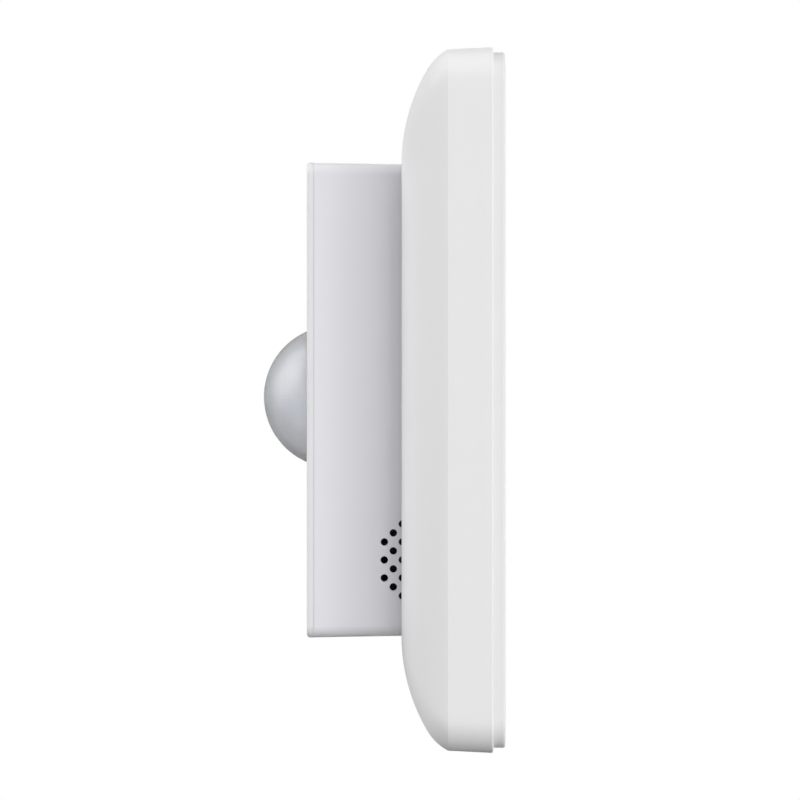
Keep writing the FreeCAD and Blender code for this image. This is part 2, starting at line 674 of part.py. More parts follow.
def front_fascia():
    """Front plate with openings for the dome, camera, button, lamp and microphone, and screw posts."""
    half = INSERT_SIZE / 2
    plate = slab(half, half, HEAD_CORNER, EDGE_BACK, HEAD_HEIGHT)
    plate = round_edges(plate, FASCIA_ROUND, HEAD_HEIGHT)
    plug_half = head_half(HOUSING_FRONT) - HEAD_WALL - PLUG_GAP
    added = [plate, slab(plug_half, plug_half, HEAD_CORNER, FASCIA_INNER, EDGE_BACK)]
    for x, z in BOSS_PLACES:
        added.append(disc(POST_RADIUS, BOSS_TOP, EDGE_BACK, x, z))
    for x, z in FRONT_SCREW_PLACES:
        added.append(disc(SMALL_POST_RADIUS, FRONT_BOARD_FACE, EDGE_BACK, x, z))
    for side in (-1, 1):
        added.append(disc(SMALL_POST_RADIUS, FLANGE_BACK, EDGE_BACK, side * EAR_X, DOME_Z))
    fascia = join(added)
    cuts = [sphere(DOME_RADIUS + DOME_GAP, DOME_CENTRE, 0, DOME_Z)]
    cuts.append(disc(WINDOW_RADIUS + WINDOW_GAP, EDGE_BACK, HEAD_HEIGHT + 1, 0, CAMERA_Z))
    cuts.append(disc(WINDOW_RADIUS - WINDOW_LEDGE, FASCIA_INNER - 1, EDGE_BACK, 0, CAMERA_Z))
    ring_radius = BUTTON_RADIUS + BUTTON_FIT + RING_WIDTH
    cuts.append(disc(ring_radius, FASCIA_INNER - 1, HEAD_HEIGHT + 1, 0, BUTTON_Z))
    cuts.append(disc(PIPE_RADIUS + PIPE_FIT, FASCIA_INNER - 1, HEAD_HEIGHT + 1, SIDE_X, CAMERA_Z))
    cuts.append(disc(MIC_HOLE_RADIUS, FASCIA_INNER - 1, HEAD_HEIGHT + 1, -SIDE_X, BUTTON_Z))
    for x, z in BOSS_PLACES:
        cuts.append(disc(HOUSING_SCREW_RADIUS, BOSS_TOP - 1, BOSS_TOP + HOUSING_SCREW_BITE, x, z))
    for x, z in FRONT_SCREW_PLACES:
        cuts.append(disc(SMALL_SCREW_RADIUS, FRONT_BOARD_FACE - 1, FRONT_BOARD_BACK + SMALL_SCREW_BITE, x, z))
    ear_pilot_top = RETAINER_BACK + SMALL_SCREW_BITE
    for side in (-1, 1):
        cuts.append(disc(SMALL_SCREW_RADIUS, FLANGE_BACK - 1, ear_pilot_top, side * EAR_X, DOME_Z))
    return fascia.cut(cuts)


def front_seal():
    """Square rubber ring in the housing's front rebate."""
    outer = head_half(HOUSING_FRONT) - HEAD_WALL + SEAL_SIZE - SEAL_GAP
    inner = outer - SEAL_SIZE + 2 * SEAL_GAP
    low = HOUSING_FRONT - SEAL_SIZE
    ring = slab(outer, outer, HEAD_CORNER, low, EDGE_BACK)
    return ring.cut(slab(inner, inner, HEAD_CORNER - SEAL_SIZE / 2, low - 1, EDGE_BACK + 1))


def pir_lens():
    """Thin spherical dome on a flat flange."""
    ball = sphere(DOME_RADIUS, DOME_CENTRE, 0, DOME_Z)
    ball = ball.common(disc(DOME_RADIUS + 1, FLANGE_BACK, DOME_CENTRE + DOME_RADIUS + 1, 0, DOME_Z))
    flange = disc(FLANGE_RADIUS, FLANGE_BACK, FASCIA_INNER, 0, DOME_Z)
    return join([ball, flange]).cut(sphere(DOME_RADIUS - DOME_WALL, DOME_CENTRE, 0, DOME_Z))


def lens_retainer():
    """Ring with two ears that clamps the dome's flange to the fascia."""
    ring = disc(FLANGE_RADIUS, RETAINER_BACK, FLANGE_BACK, 0, DOME_Z)
    ears = block(2 * EAR_X, EAR_WIDTH, RETAINER_BACK, FLANGE_BACK, 0, DOME_Z)
    ends = [disc(EAR_WIDTH / 2, RETAINER_BACK, FLANGE_BACK, side * EAR_X, DOME_Z) for side in (-1, 1)]
    body = join([ring, ears] + ends)
    body = body.cut(disc(DOME_MOUTH, RETAINER_BACK - 1, FLANGE_BACK + 1, 0, DOME_Z))
    hole_radius = SMALL_SCREW_RADIUS + SCREW_HOLE_GAP
    for side in (-1, 1):
        body = body.cut(disc(hole_radius, RETAINER_BACK - 1, FLANGE_BACK + 1, side * EAR_X, DOME_Z))
    return body


def small_screws(places, seat, head):
    """Set of the small slotted screws that hold the boards and the retainer."""
    screws = []
    for x, z in places:
        screws.append(screw(x, z, seat, head, SMALL_SCREW_BITE, SMALL_SCREW_HEAD_RADIUS, SMALL_SCREW_RADIUS))
    return group(screws)


def lead_places():
    """The sensor's three leads on their circle."""
    angles = (math.radians(90), math.radians(210), math.radians(330))
    return [(LEAD_CIRCLE * math.cos(angle), DOME_Z + LEAD_CIRCLE * math.sin(angle)) for angle in angles]


def pir_sensor_base():
    """Metal header of the movement sensor with three leads through the front board."""
    base = [disc(CAN_RADIUS + CAN_RIM, FRONT_BOARD_FACE, FRONT_BOARD_FACE + CAN_BASE, 0, DOME_Z)]
    for x, z in lead_places():
        base.append(disc(LEAD_RADIUS, FRONT_BOARD_BACK - LEAD_TAIL, FRONT_BOARD_FACE + CAN_BASE, x, z))
    return join(base)


def pir_sensor_can():
    """Metal can with a rectangular window opening."""
    low = FRONT_BOARD_FACE + CAN_BASE
    high = low + CAN_TOP_HEIGHT
    can = disc(CAN_RADIUS, low, high, 0, DOME_Z)
    can = can.cut(disc(CAN_RADIUS - CAN_WALL, low - 1, high - CAN_WALL, 0, DOME_Z))
    return can.cut(block(SENSOR_WINDOW_WIDTH, SENSOR_WINDOW_TALL, low, high + 1, 0, DOME_Z))


def pir_sensor_window():
    """Dark infrared filter in the can's lid."""
    high = FRONT_BOARD_FACE + CAN_BASE + CAN_TOP_HEIGHT
    return block(SENSOR_WINDOW_WIDTH, SENSOR_WINDOW_TALL, high - CAN_WALL, high, 0, DOME_Z)


def camera_window():
    """Flush front glass of the camera."""
    return disc(WINDOW_RADIUS, EDGE_BACK, HEAD_HEIGHT, 0, CAMERA_Z)


def camera_holder():
    """Square holder over the image sensor with a bore for the lens barrel."""
    low = FRONT_BOARD_FACE
    body = block(HOLDER_SIZE, HOLDER_SIZE, low, low + HOLDER_TALL, 0, CAMERA_Z)
    body = body.cut(block(HOLDER_CHAMBER, HOLDER_CHAMBER, low - 1, low + CHAMBER_TALL, 0, CAMERA_Z))
    return body.cut(disc(BARREL_RADIUS + BARREL_FIT, low, low + HOLDER_TALL + 1, 0, CAMERA_Z))


def camera_barrel():
    """Lens barrel, wide at the front and narrow behind."""
    low = FRONT_BOARD_FACE + BARREL_LIFT
    high = low + BARREL_LONG
    barrel = disc(BARREL_RADIUS, low, high, 0, CAMERA_Z)
    barrel = barrel.cut(disc(FRONT_LENS_RADIUS, low + BARREL_SHOULDER, high + 1, 0, CAMERA_Z))
    return barrel.cut(disc(REAR_LENS_RADIUS, low - 1, high, 0, CAMERA_Z))


def camera_front_lens():
    """Front lens element with a domed face."""
    high = FRONT_BOARD_FACE + BARREL_LIFT + BARREL_LONG - FRONT_LENS_RECESS
    bar = disc(FRONT_LENS_RADIUS, high - FRONT_LENS_THICK, high, 0, CAMERA_Z)
    return bar.common(sphere(FRONT_LENS_CURVE, high - FRONT_LENS_CURVE, 0, CAMERA_Z))


def camera_rear_lens():
    """Rear lens element."""
    low = FRONT_BOARD_FACE + BARREL_LIFT + REAR_LENS_LIFT
    return disc(REAR_LENS_RADIUS, low, low + REAR_LENS_THICK, 0, CAMERA_Z)


def image_sensor():
    """Image sensor chip on the front board."""
    high = FRONT_BOARD_FACE + SENSOR_CHIP_THICK
    return block(SENSOR_CHIP_WIDTH, SENSOR_CHIP_TALL, FRONT_BOARD_FACE, high, 0, CAMERA_Z)


def infrared_lamps():
    """Four infrared lamps around the camera, behind its window."""
    reach = HOLDER_SIZE / 2 + LAMP_GAP + LAMP_SIZE / 2
    high = FRONT_BOARD_FACE + LAMP_THICK
    lamps = []
    for x, z in ((reach, 0), (-reach, 0), (0, reach), (0, -reach)):
        lamps.append(block(LAMP_SIZE, LAMP_SIZE, FRONT_BOARD_FACE, high, x, CAMERA_Z + z))
    return group(lamps)


def camera_baffle():
    """Foam ring that keeps lamp light out of the lens."""
    inner = BARREL_RADIUS + BAFFLE_GAP
    return tube(inner + BAFFLE_WALL, inner, FRONT_BOARD_FACE + HOLDER_TALL, EDGE_BACK, 0, CAMERA_Z)


def call_button():
    """Round button cap with a flange behind the ring and a short stem."""
    cap_low = HEAD_HEIGHT - BUTTON_CAP
    flange_low = cap_low - BUTTON_FLANGE_THICK
    cap = round_edges(disc(BUTTON_RADIUS, cap_low, HEAD_HEIGHT, 0, BUTTON_Z), BUTTON_ROUND, HEAD_HEIGHT)
    flange = disc(BUTTON_RADIUS + BUTTON_FLANGE_WIDTH, flange_low, cap_low, 0, BUTTON_Z)
    return join([cap, flange, disc(STEM_RADIUS, button_stem_top(), flange_low, 0, BUTTON_Z)])


def button_stem_top():
    """Height where the button's stem meets the switch's stem."""
    return FRONT_BOARD_FACE + SWITCH_BASE + BUTTON_TRAVEL + STEM_FIT + STEM_LONG


def button_switch_stem():
    """Moving stem of the call button's switch."""
    return disc(STEM_RADIUS, button_stem_top() - STEM_LONG, button_stem_top(), 0, BUTTON_Z)


def button_switch():
    """Body of the call button's switch, with a well for the stem."""
    high = FRONT_BOARD_FACE + SWITCH_TALL
    body = block(SWITCH_SIZE, SWITCH_SIZE, FRONT_BOARD_FACE, high, 0, BUTTON_Z)
    return body.cut(disc(STEM_RADIUS + STEM_FIT, FRONT_BOARD_FACE + SWITCH_BASE, high + 1, 0, BUTTON_Z))


def button_light_ring():
    """Clear ring that guides the button and carries light to the front."""
    step = HEAD_HEIGHT - BUTTON_CAP + BUTTON_STOP_GAP
    bore = BUTTON_RADIUS + BUTTON_FIT
    low = FRONT_BOARD_FACE + RING_TAIL
    ring = disc(bore + RING_WIDTH, FASCIA_INNER, HEAD_HEIGHT, 0, BUTTON_Z)
    ring = join([ring, disc(RING_FLANGE_RADIUS, low, FASCIA_INNER, 0, BUTTON_Z)])
    ring = ring.cut(disc(bore, low, HEAD_HEIGHT + 1, 0, BUTTON_Z))
    wide_bore = BUTTON_RADIUS + BUTTON_FLANGE_WIDTH + RING_FLANGE_GAP
    return ring.cut(disc(wide_bore, low - 1, step, 0, BUTTON_Z))


def ring_lamps():
    """Four small lamps under the light ring."""
    reach = RING_FLANGE_RADIUS - RING_LAMP_SIZE / 2
    high = FRONT_BOARD_FACE + RING_LAMP_THICK
    lamps = []
    for x, z in ((reach, 0), (-reach, 0), (0, reach), (0, -reach)):
        lamps.append(block(RING_LAMP_SIZE, RING_LAMP_SIZE, FRONT_BOARD_FACE, high, x, BUTTON_Z + z))
    return group(lamps)


def status_light_pipe():
    """Clear rod from the status lamp to the fascia's front."""
    low = FRONT_BOARD_FACE + STATUS_LAMP_THICK + PIPE_LAMP_GAP
    rod = disc(PIPE_RADIUS, low, HEAD_HEIGHT, SIDE_X, CAMERA_Z)
    flange_low = FASCIA_INNER - PIPE_FLANGE
    return join([rod, disc(PIPE_RADIUS + PIPE_FLANGE, flange_low, FASCIA_INNER, SIDE_X, CAMERA_Z)])


def status_lamp():
    """Status lamp chip on the front board."""
    high = FRONT_BOARD_FACE + STATUS_LAMP_THICK
    return block(STATUS_LAMP_WIDTH, STATUS_LAMP_TALL, FRONT_BOARD_FACE, high, SIDE_X, CAMERA_Z)


def microphone():
    """Microphone chip on the front board."""
    return block(MIC_WIDTH, MIC_TALL, FRONT_BOARD_FACE, FRONT_BOARD_FACE + MIC_THICK, -SIDE_X, BUTTON_Z)


def microphone_boot():
    """Rubber tube that seals the microphone to its hole in the fascia."""
    return tube(BOOT_RADIUS, BOOT_BORE, FRONT_BOARD_FACE + MIC_THICK, FASCIA_INNER, -SIDE_X, BUTTON_Z)


def front_board():
    """Board behind the fascia, notched for the screw posts."""
    board = slab(FRONT_BOARD_HALF, FRONT_BOARD_HALF, BOARD_CORNER, FRONT_BOARD_BACK, FRONT_BOARD_FACE)
    cuts = []
    for x, z in BOSS_PLACES:
        cuts.append(disc(POST_RADIUS + BOARD_NOTCH_GAP, FRONT_BOARD_BACK - 1, FRONT_BOARD_FACE + 1, x, z))
    hole_radius = SMALL_SCREW_RADIUS + SCREW_HOLE_GAP
    for x, z in FRONT_SCREW_PLACES:
        cuts.append(disc(hole_radius, FRONT_BOARD_BACK - 1, FRONT_BOARD_FACE + 1, x, z))
    for x, z in lead_places():
        cuts.append(disc(LEAD_RADIUS + SCREW_HOLE_GAP, FRONT_BOARD_BACK - 1, FRONT_BOARD_FACE + 1, x, z))
    return board.cut(cuts)


def main_board():
    """Board behind the front board, notched for the bosses and the speaker."""
    board = slab(MAIN_BOARD_HALF, MAIN_BOARD_HALF, BOARD_CORNER, MAIN_BOARD_BACK, MAIN_BOARD_FACE)
    cuts = []
    for x, z in BOSS_PLACES:
        cuts.append(disc(BOSS_RADIUS + BOARD_NOTCH_GAP, MAIN_BOARD_BACK - 1, MAIN_BOARD_FACE + 1, x, z))
    for x, z in MAIN_SCREW_PLACES:
        cuts.append(disc(SMALL_SCREW_RADIUS + SCREW_HOLE_GAP, MAIN_BOARD_BACK - 1, MAIN_BOARD_FACE + 1, x, z))
    notch_x = SPEAKER_BACK_X - SPEAKER_BOARD_GAP
    notch_width = MAIN_BOARD_HALF - notch_x + 1
    notch_top = SOUND_Z + SPEAKER_TALL / 2 + SPEAKER_BOARD_GAP
    notch_tall = notch_top + MAIN_BOARD_HALF + 1
    notch_centre = (notch_x + notch_width / 2, notch_top - notch_tall / 2)
    cuts.append(block(notch_width, notch_tall, MAIN_BOARD_BACK - 1, MAIN_BOARD_FACE + 1, *notch_centre))
    return board.cut(cuts)


def chip(size):
    """Flat chip on the main board's front."""
    width, tall, thick, x, z = size
    return block(width, tall, MAIN_BOARD_FACE, MAIN_BOARD_FACE + thick, x, z)


def radio_shield():
    """Thin metal can over the radio chip, open to the board."""
    width, tall, thick, x, z = RADIO_SHIELD
    top = MAIN_BOARD_FACE + thick
    inner_width = width - 2 * SHIELD_WALL
    inner_tall = tall - 2 * SHIELD_WALL
    inner = block(inner_width, inner_tall, MAIN_BOARD_FACE - 1, top - SHIELD_WALL, x, z)
    return chip(RADIO_SHIELD).cut(inner)


def power_coil():
    """Moulded power coil with a shallow round well."""
    width, tall, thick, x, z = COIL
    top = MAIN_BOARD_FACE + thick
    body = slab(width / 2, tall / 2, COIL_CORNER, MAIN_BOARD_FACE, top, x, z)
    return body.cut(disc(COIL_WELL_RADIUS, top - COIL_WELL_DEEP, top + 1, x, z))


def capacitors():
    """Upright can capacitors with a rolled groove near the foot."""
    cans = []
    groove_low = MAIN_BOARD_FACE + CAPACITOR_TALL / 4
    groove_high = groove_low + 2 * CAPACITOR_GROOVE
    groove_radius = CAPACITOR_RADIUS - CAPACITOR_GROOVE
    for x, z in CAPACITOR_PLACES:
        can = disc(CAPACITOR_RADIUS, MAIN_BOARD_FACE, MAIN_BOARD_FACE + CAPACITOR_TALL, x, z)
        cans.append(can.cut(tube(CAPACITOR_RADIUS + 1, groove_radius, groove_low, groove_high, x, z)))
    return group(cans)


def antenna():
    """Bent metal strip on two feet along the main board's top edge."""
    z = MAIN_BOARD_HALF - ANTENNA_EDGE_GAP
    arm_low = MAIN_BOARD_FACE + ANTENNA_LIFT
    pieces = [block(ANTENNA_WIDTH, ANTENNA_THICK, arm_low, arm_low + ANTENNA_TALL, ANTENNA_X, z)]
    for side in (-1, 0):
        x = ANTENNA_X + side * (ANTENNA_WIDTH - ANTENNA_FOOT) / 2
        pieces.append(block(ANTENNA_FOOT, ANTENNA_THICK, MAIN_BOARD_FACE, arm_low, x, z))
    return join(pieces)


def supply_socket():
    """Socket behind the main board that takes the two supply pins."""
    low = MAIN_BOARD_BACK - SOCKET_DEEP
    body = block(SOCKET_WIDTH, SOCKET_TALL, low, MAIN_BOARD_BACK, 0, PIN_Z)
    high = MAIN_BOARD_BACK - SOCKET_BACK
    for side in (-1, 1):
        body = body.cut(disc(PIN_RADIUS + PIN_FIT, low - 1, high, side * PIN_X, PIN_Z))
    return body


def ribbon_levels():
    """Heights of the ribbon's two legs, in the middle of the two sockets."""
    low = MAIN_BOARD_FACE + RIBBON_SOCKET_THICK / 2
    high = FRONT_BOARD_BACK - RIBBON_SOCKET_THICK / 2
    return low, high


def ribbon_band(grow):
    """Flat U-shaped band that joins the two sockets, made thicker by an amount."""
    low, high = ribbon_levels()
    middle = (low + high) / 2
    outer = (high - low) / 2 + RIBBON_THICK / 2 + grow
    inner = (high - low) / 2 - RIBBON_THICK / 2 - grow
    end_x = RIBBON_BEND_X + RIBBON_LEG

    def bend(radius):
        """Half circle at the closed end of the U."""
        top = place(RIBBON_BEND_X, -RIBBON_WIDE / 2, middle + radius)
        side = place(RIBBON_BEND_X - radius, -RIBBON_WIDE / 2, middle)
        bottom = place(RIBBON_BEND_X, -RIBBON_WIDE / 2, middle - radius)
        return top, side, bottom

    outer_top, outer_side, outer_bottom = bend(outer)
    inner_top, inner_side, inner_bottom = bend(inner)
    reach = FreeCAD.Vector(end_x - RIBBON_BEND_X, 0, 0)
    edges = [
        Part.LineSegment(outer_top + reach, outer_top).toShape(),
        Part.Arc(outer_top, outer_side, outer_bottom).toShape(),
        Part.LineSegment(outer_bottom, outer_bottom + reach).toShape(),
        Part.LineSegment(outer_bottom + reach, inner_bottom + reach).toShape(),
        Part.LineSegment(inner_bottom + reach, inner_bottom).toShape(),
        Part.Arc(inner_bottom, inner_side, inner_top).toShape(),
        Part.LineSegment(inner_top, inner_top + reach).toShape(),
        Part.LineSegment(inner_top + reach, outer_top + reach).toShape(),
    ]
    return Part.Face(Part.Wire(edges)).extrude(FreeCAD.Vector(0, 0, RIBBON_WIDE))


def ribbon_sockets():
    """One socket on each board, each gripping the end of the ribbon."""
    x = RIBBON_BEND_X + RIBBON_LEG - RIBBON_GRIP + RIBBON_SOCKET_WIDE / 2
    low_block = block(
        RIBBON_SOCKET_WIDE, RIBBON_SOCKET_TALL, MAIN_BOARD_FACE, MAIN_BOARD_FACE + RIBBON_SOCKET_THICK, x, 0
    )
    high_block = block(
        RIBBON_SOCKET_WIDE, RIBBON_SOCKET_TALL, FRONT_BOARD_BACK - RIBBON_SOCKET_THICK, FRONT_BOARD_BACK, x, 0
    )
    band = ribbon_band(0)
    return group([low_block.cut(band), high_block.cut(band)])


def speaker_box(width, tall, far_x, near_x):
    """Block in front of the right-hand sound holes, between two distances from the centre."""
    low = SPEAKER_CENTRE - width / 2
    return block(far_x - near_x, tall, low, low + width, (far_x + near_x) / 2, SOUND_Z)


def sound_mesh(side):
    """Fine cloth that covers one cluster of sound holes from inside."""
    low = SPEAKER_CENTRE - SPEAKER_WIDE / 2
    x = side * (SOUND_WALL_X - MESH_THICK / 2)
    return block(MESH_THICK, SPEAKER_TALL, low, low + SPEAKER_WIDE, x, SOUND_Z)


def speaker_gasket():
    """Foam frame between the mesh and the speaker."""
    outer_x = SPEAKER_FACE_X + GASKET_THICK
    body = speaker_box(SPEAKER_WIDE, SPEAKER_TALL, outer_x, SPEAKER_FACE_X)
    hole_wide = SPEAKER_WIDE - 2 * GASKET_RIM
    hole_tall = SPEAKER_TALL - 2 * GASKET_RIM
    return body.cut(speaker_box(hole_wide, hole_tall, outer_x + 1, SPEAKER_FACE_X - 1))


def speaker_frame():
    """Speaker basket, open at the front, with a seat for the magnet."""
    body = speaker_box(SPEAKER_WIDE, SPEAKER_TALL, SPEAKER_FACE_X, SPEAKER_BACK_X)
    inner_wide = SPEAKER_WIDE - 2 * SPEAKER_RIM
    inner_tall = SPEAKER_TALL - 2 * SPEAKER_RIM
    return body.cut(speaker_box(inner_wide, inner_tall, SPEAKER_FACE_X + 1, SPEAKER_BACK_X + SPEAKER_BACK))


def speaker_cone():
    """Flat diaphragm with a raised middle, across the basket."""
    outer_x = SPEAKER_FACE_X - CONE_LIFT
    wide = SPEAKER_WIDE - 2 * SPEAKER_RIM
    tall = SPEAKER_TALL - 2 * SPEAKER_RIM
    sheet = speaker_box(wide, tall, outer_x, outer_x - CONE_THICK)
    middle = speaker_box(wide / 2, tall / 2, outer_x + CONE_THICK, outer_x)
    return join([sheet, middle])


def speaker_magnet():
    """Magnet block on the basket's back wall."""
    near_x = SPEAKER_BACK_X + SPEAKER_BACK
    return speaker_box(MAGNET_WIDE, MAGNET_TALL, near_x + MAGNET_DEEP, near_x)


def retaining_clips():
    """Spring-steel sleeves on the head's floor that grip the wall plate's tongues."""
    clips = []
    inner_x = TONGUE_THICK + 2 * CLIP_GAP
    inner_z = TONGUE_WIDE + 2 * TONGUE_SLOT_GAP
    for x, z in TONGUE_PLACES:
        sleeve = block(
            inner_x + 2 * CLIP_THICK, inner_z + 2 * CLIP_THICK, FLOOR_TOP, FLOOR_TOP + CLIP_TALL, x, z
        )
        foot = block(
            inner_x + 2 * CLIP_THICK + 2 * CLIP_FOOT, inner_z, FLOOR_TOP, FLOOR_TOP + CLIP_THICK, x, z
        )
        bore = block(inner_x, inner_z, FLOOR_TOP - 1, FLOOR_TOP + CLIP_TALL + 1, x, z)
        clips.append(join([sleeve, foot]).cut(bore))
    return group(clips)


def housing_screws():
    """Four long screws from the head's back into the fascia's posts."""
    seat = HEAD_BACK + HOUSING_SCREW_SEAT
    bite = BOSS_TOP + HOUSING_SCREW_BITE - seat
    screws = []
    for x, z in BOSS_PLACES:
        screws.append(
            screw(x, z, seat, -HOUSING_SCREW_HEAD, bite, HOUSING_SCREW_HEAD_RADIUS, HOUSING_SCREW_RADIUS)
        )
    return group(screws)


def pair_stem_base():
    """Height where the pairing button meets its switch's stem."""
    return MAIN_BOARD_BACK - PAIR_SWITCH_BASE - PAIR_TRAVEL - PAIR_FIT - PAIR_STEM_LONG


def pairing_button():
    """Small button pressed through the head's back, with a flange inside the floor."""
    rod = disc(PAIR_RADIUS, HEAD_BACK + PAIR_RECESS, pair_stem_base(), PAIR_X, PAIR_Z)
    low = FLOOR_TOP + PAIR_FLANGE_LIFT
    flange = disc(PAIR_RADIUS + PAIR_FLANGE, low, low + PAIR_FLANGE_THICK, PAIR_X, PAIR_Z)
    return join([rod, flange])


def pairing_switch_stem():
    """Moving stem of the pairing switch."""
    low = pair_stem_base()
    return disc(PAIR_STEM_RADIUS, low, low + PAIR_STEM_LONG, PAIR_X, PAIR_Z)


def pairing_switch():
    """Body of the pairing switch behind the main board."""
    low = MAIN_BOARD_BACK - PAIR_SWITCH_TALL
    body = block(PAIR_SWITCH_SIZE, PAIR_SWITCH_SIZE, low, MAIN_BOARD_BACK, PAIR_X, PAIR_Z)
    well_top = MAIN_BOARD_BACK - PAIR_SWITCH_BASE
    return body.cut(disc(PAIR_STEM_RADIUS + PAIR_FIT, low - 1, well_top, PAIR_X, PAIR_Z))


def all_parts():
    """Every sub-part by node name."""
    ear_places = [(-EAR_X, DOME_Z), (EAR_X, DOME_Z)]
    return {
        "wall_plate": wall_plate(),
        "design_frame": design_frame(),
        "terminal_block": terminal_block(),
        "terminal_clamps": terminal_clamps(),
        "terminal_screws": terminal_screws(),
        "supply_pins": supply_pins(),
        "head_housing": head_housing(),
        "front_fascia": front_fascia(),
        "front_seal": front_seal(),
        "pir_lens": pir_lens(),
        "lens_retainer": lens_retainer(),
        "retainer_screws": small_screws(ear_places, RETAINER_BACK, -SMALL_SCREW_HEAD),
        "pir_sensor_base": pir_sensor_base(),
        "pir_sensor_can": pir_sensor_can(),
        "pir_sensor_window": pir_sensor_window(),
        "camera_window": camera_window(),
        "camera_holder": camera_holder(),
        "camera_barrel": camera_barrel(),
        "camera_front_lens": camera_front_lens(),
        "camera_rear_lens": camera_rear_lens(),
        "camera_baffle": camera_baffle(),
        "image_sensor": image_sensor(),
        "infrared_lamps": infrared_lamps(),
        "call_button": call_button(),
        "button_switch_stem": button_switch_stem(),
        "button_switch": button_switch(),
        "button_light_ring": button_light_ring(),
        "ring_lamps": ring_lamps(),
        "status_light_pipe": status_light_pipe(),
        "status_lamp": status_lamp(),
        "microphone": microphone(),
        "microphone_boot": microphone_boot(),
        "front_board": front_board(),
        "front_board_screws": small_screws(FRONT_SCREW_PLACES, FRONT_BOARD_BACK, -SMALL_SCREW_HEAD),
        "main_board": main_board(),
        "main_board_screws": small_screws(MAIN_SCREW_PLACES, MAIN_BOARD_FACE, SMALL_SCREW_HEAD),
        "processor_chip": chip(PROCESSOR),
        "memory_chip": chip(MEMORY),
        "radio_chip": chip(RADIO_CHIP),
        "radio_shield": radio_shield(),
        "power_chip": chip(POWER_CHIP),
        "power_coil": power_coil(),
        "capacitors": capacitors(),
        "antenna": antenna(),
        "supply_socket": supply_socket(),
        "ribbon_cable": ribbon_band(0),
        "ribbon_sockets": ribbon_sockets(),
        "sound_mesh_right": sound_mesh(1),
        "sound_mesh_left": sound_mesh(-1),
        "speaker_gasket": speaker_gasket(),
        "speaker_frame": speaker_frame(),
        "speaker_cone": speaker_cone(),
        "speaker_magnet": speaker_magnet(),
        "retaining_clips": retaining_clips(),
        "housing_screws": housing_screws(),
        "pairing_button": pairing_button(),
        "pairing_switch_stem": pairing_switch_stem(),
        "pairing_switch": pairing_switch(),
    }


os.makedirs("parts", exist_ok=True)
for name, shape in all_parts().items():
    shape.exportStep("parts/" + name + ".step")
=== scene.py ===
import json
import logging
import math
import random
from collections.abc import Mapping, Sequence
from dataclasses import dataclass
from enum import Enum

import bmesh
import bpy
from mathutils import Matrix, Vector
from mathutils.bvhtree import BVHTree


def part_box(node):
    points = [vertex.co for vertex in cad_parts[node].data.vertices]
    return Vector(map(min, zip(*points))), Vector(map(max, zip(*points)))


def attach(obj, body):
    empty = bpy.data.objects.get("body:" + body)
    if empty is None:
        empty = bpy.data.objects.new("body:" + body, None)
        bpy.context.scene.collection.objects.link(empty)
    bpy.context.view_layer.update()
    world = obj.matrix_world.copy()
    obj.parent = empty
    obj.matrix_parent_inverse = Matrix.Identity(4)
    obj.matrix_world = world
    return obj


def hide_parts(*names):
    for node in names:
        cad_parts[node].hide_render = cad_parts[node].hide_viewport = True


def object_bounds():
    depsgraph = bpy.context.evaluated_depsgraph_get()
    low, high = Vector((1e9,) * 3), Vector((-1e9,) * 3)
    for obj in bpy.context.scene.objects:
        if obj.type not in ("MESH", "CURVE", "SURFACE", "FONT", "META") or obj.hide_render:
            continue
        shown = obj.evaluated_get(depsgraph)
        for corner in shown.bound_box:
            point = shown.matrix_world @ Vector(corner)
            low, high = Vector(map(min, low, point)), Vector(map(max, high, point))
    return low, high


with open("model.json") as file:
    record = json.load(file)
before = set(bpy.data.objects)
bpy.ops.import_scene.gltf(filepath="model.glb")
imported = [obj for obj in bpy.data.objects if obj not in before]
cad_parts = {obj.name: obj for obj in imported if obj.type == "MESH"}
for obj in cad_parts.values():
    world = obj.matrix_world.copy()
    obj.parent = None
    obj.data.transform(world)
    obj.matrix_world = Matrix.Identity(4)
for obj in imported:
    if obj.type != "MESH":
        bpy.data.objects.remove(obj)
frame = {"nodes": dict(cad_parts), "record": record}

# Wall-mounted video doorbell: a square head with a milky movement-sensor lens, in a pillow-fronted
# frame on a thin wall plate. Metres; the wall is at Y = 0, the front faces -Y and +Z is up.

CAD_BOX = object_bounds()
MM = 0.001
SAME_PLACE = 1e-7            # points closer than this are one point
LENS_RADIUS = 8.43 * MM      # outer radius of the movement sensor's dome
log = logging.getLogger("wall_unit")

Colour = tuple[float, float, float]
Point = tuple[float, float, float]


class Body(Enum):
    """The moving bodies that pieces ride on."""

    WALL = "wall_mount"
    HEAD = "head"


class Pattern(Enum):
    """What the fine relief of a finish is made of."""

    GRAIN = "ShaderNodeTexNoise"
    CELLS = "ShaderNodeTexVoronoi"


class Outline(Enum):
    """Outline of a softbox."""

    SQUARE = "RECTANGLE"
    OVAL = "ELLIPSE"


# ---------------------------------------------------------------- node trees


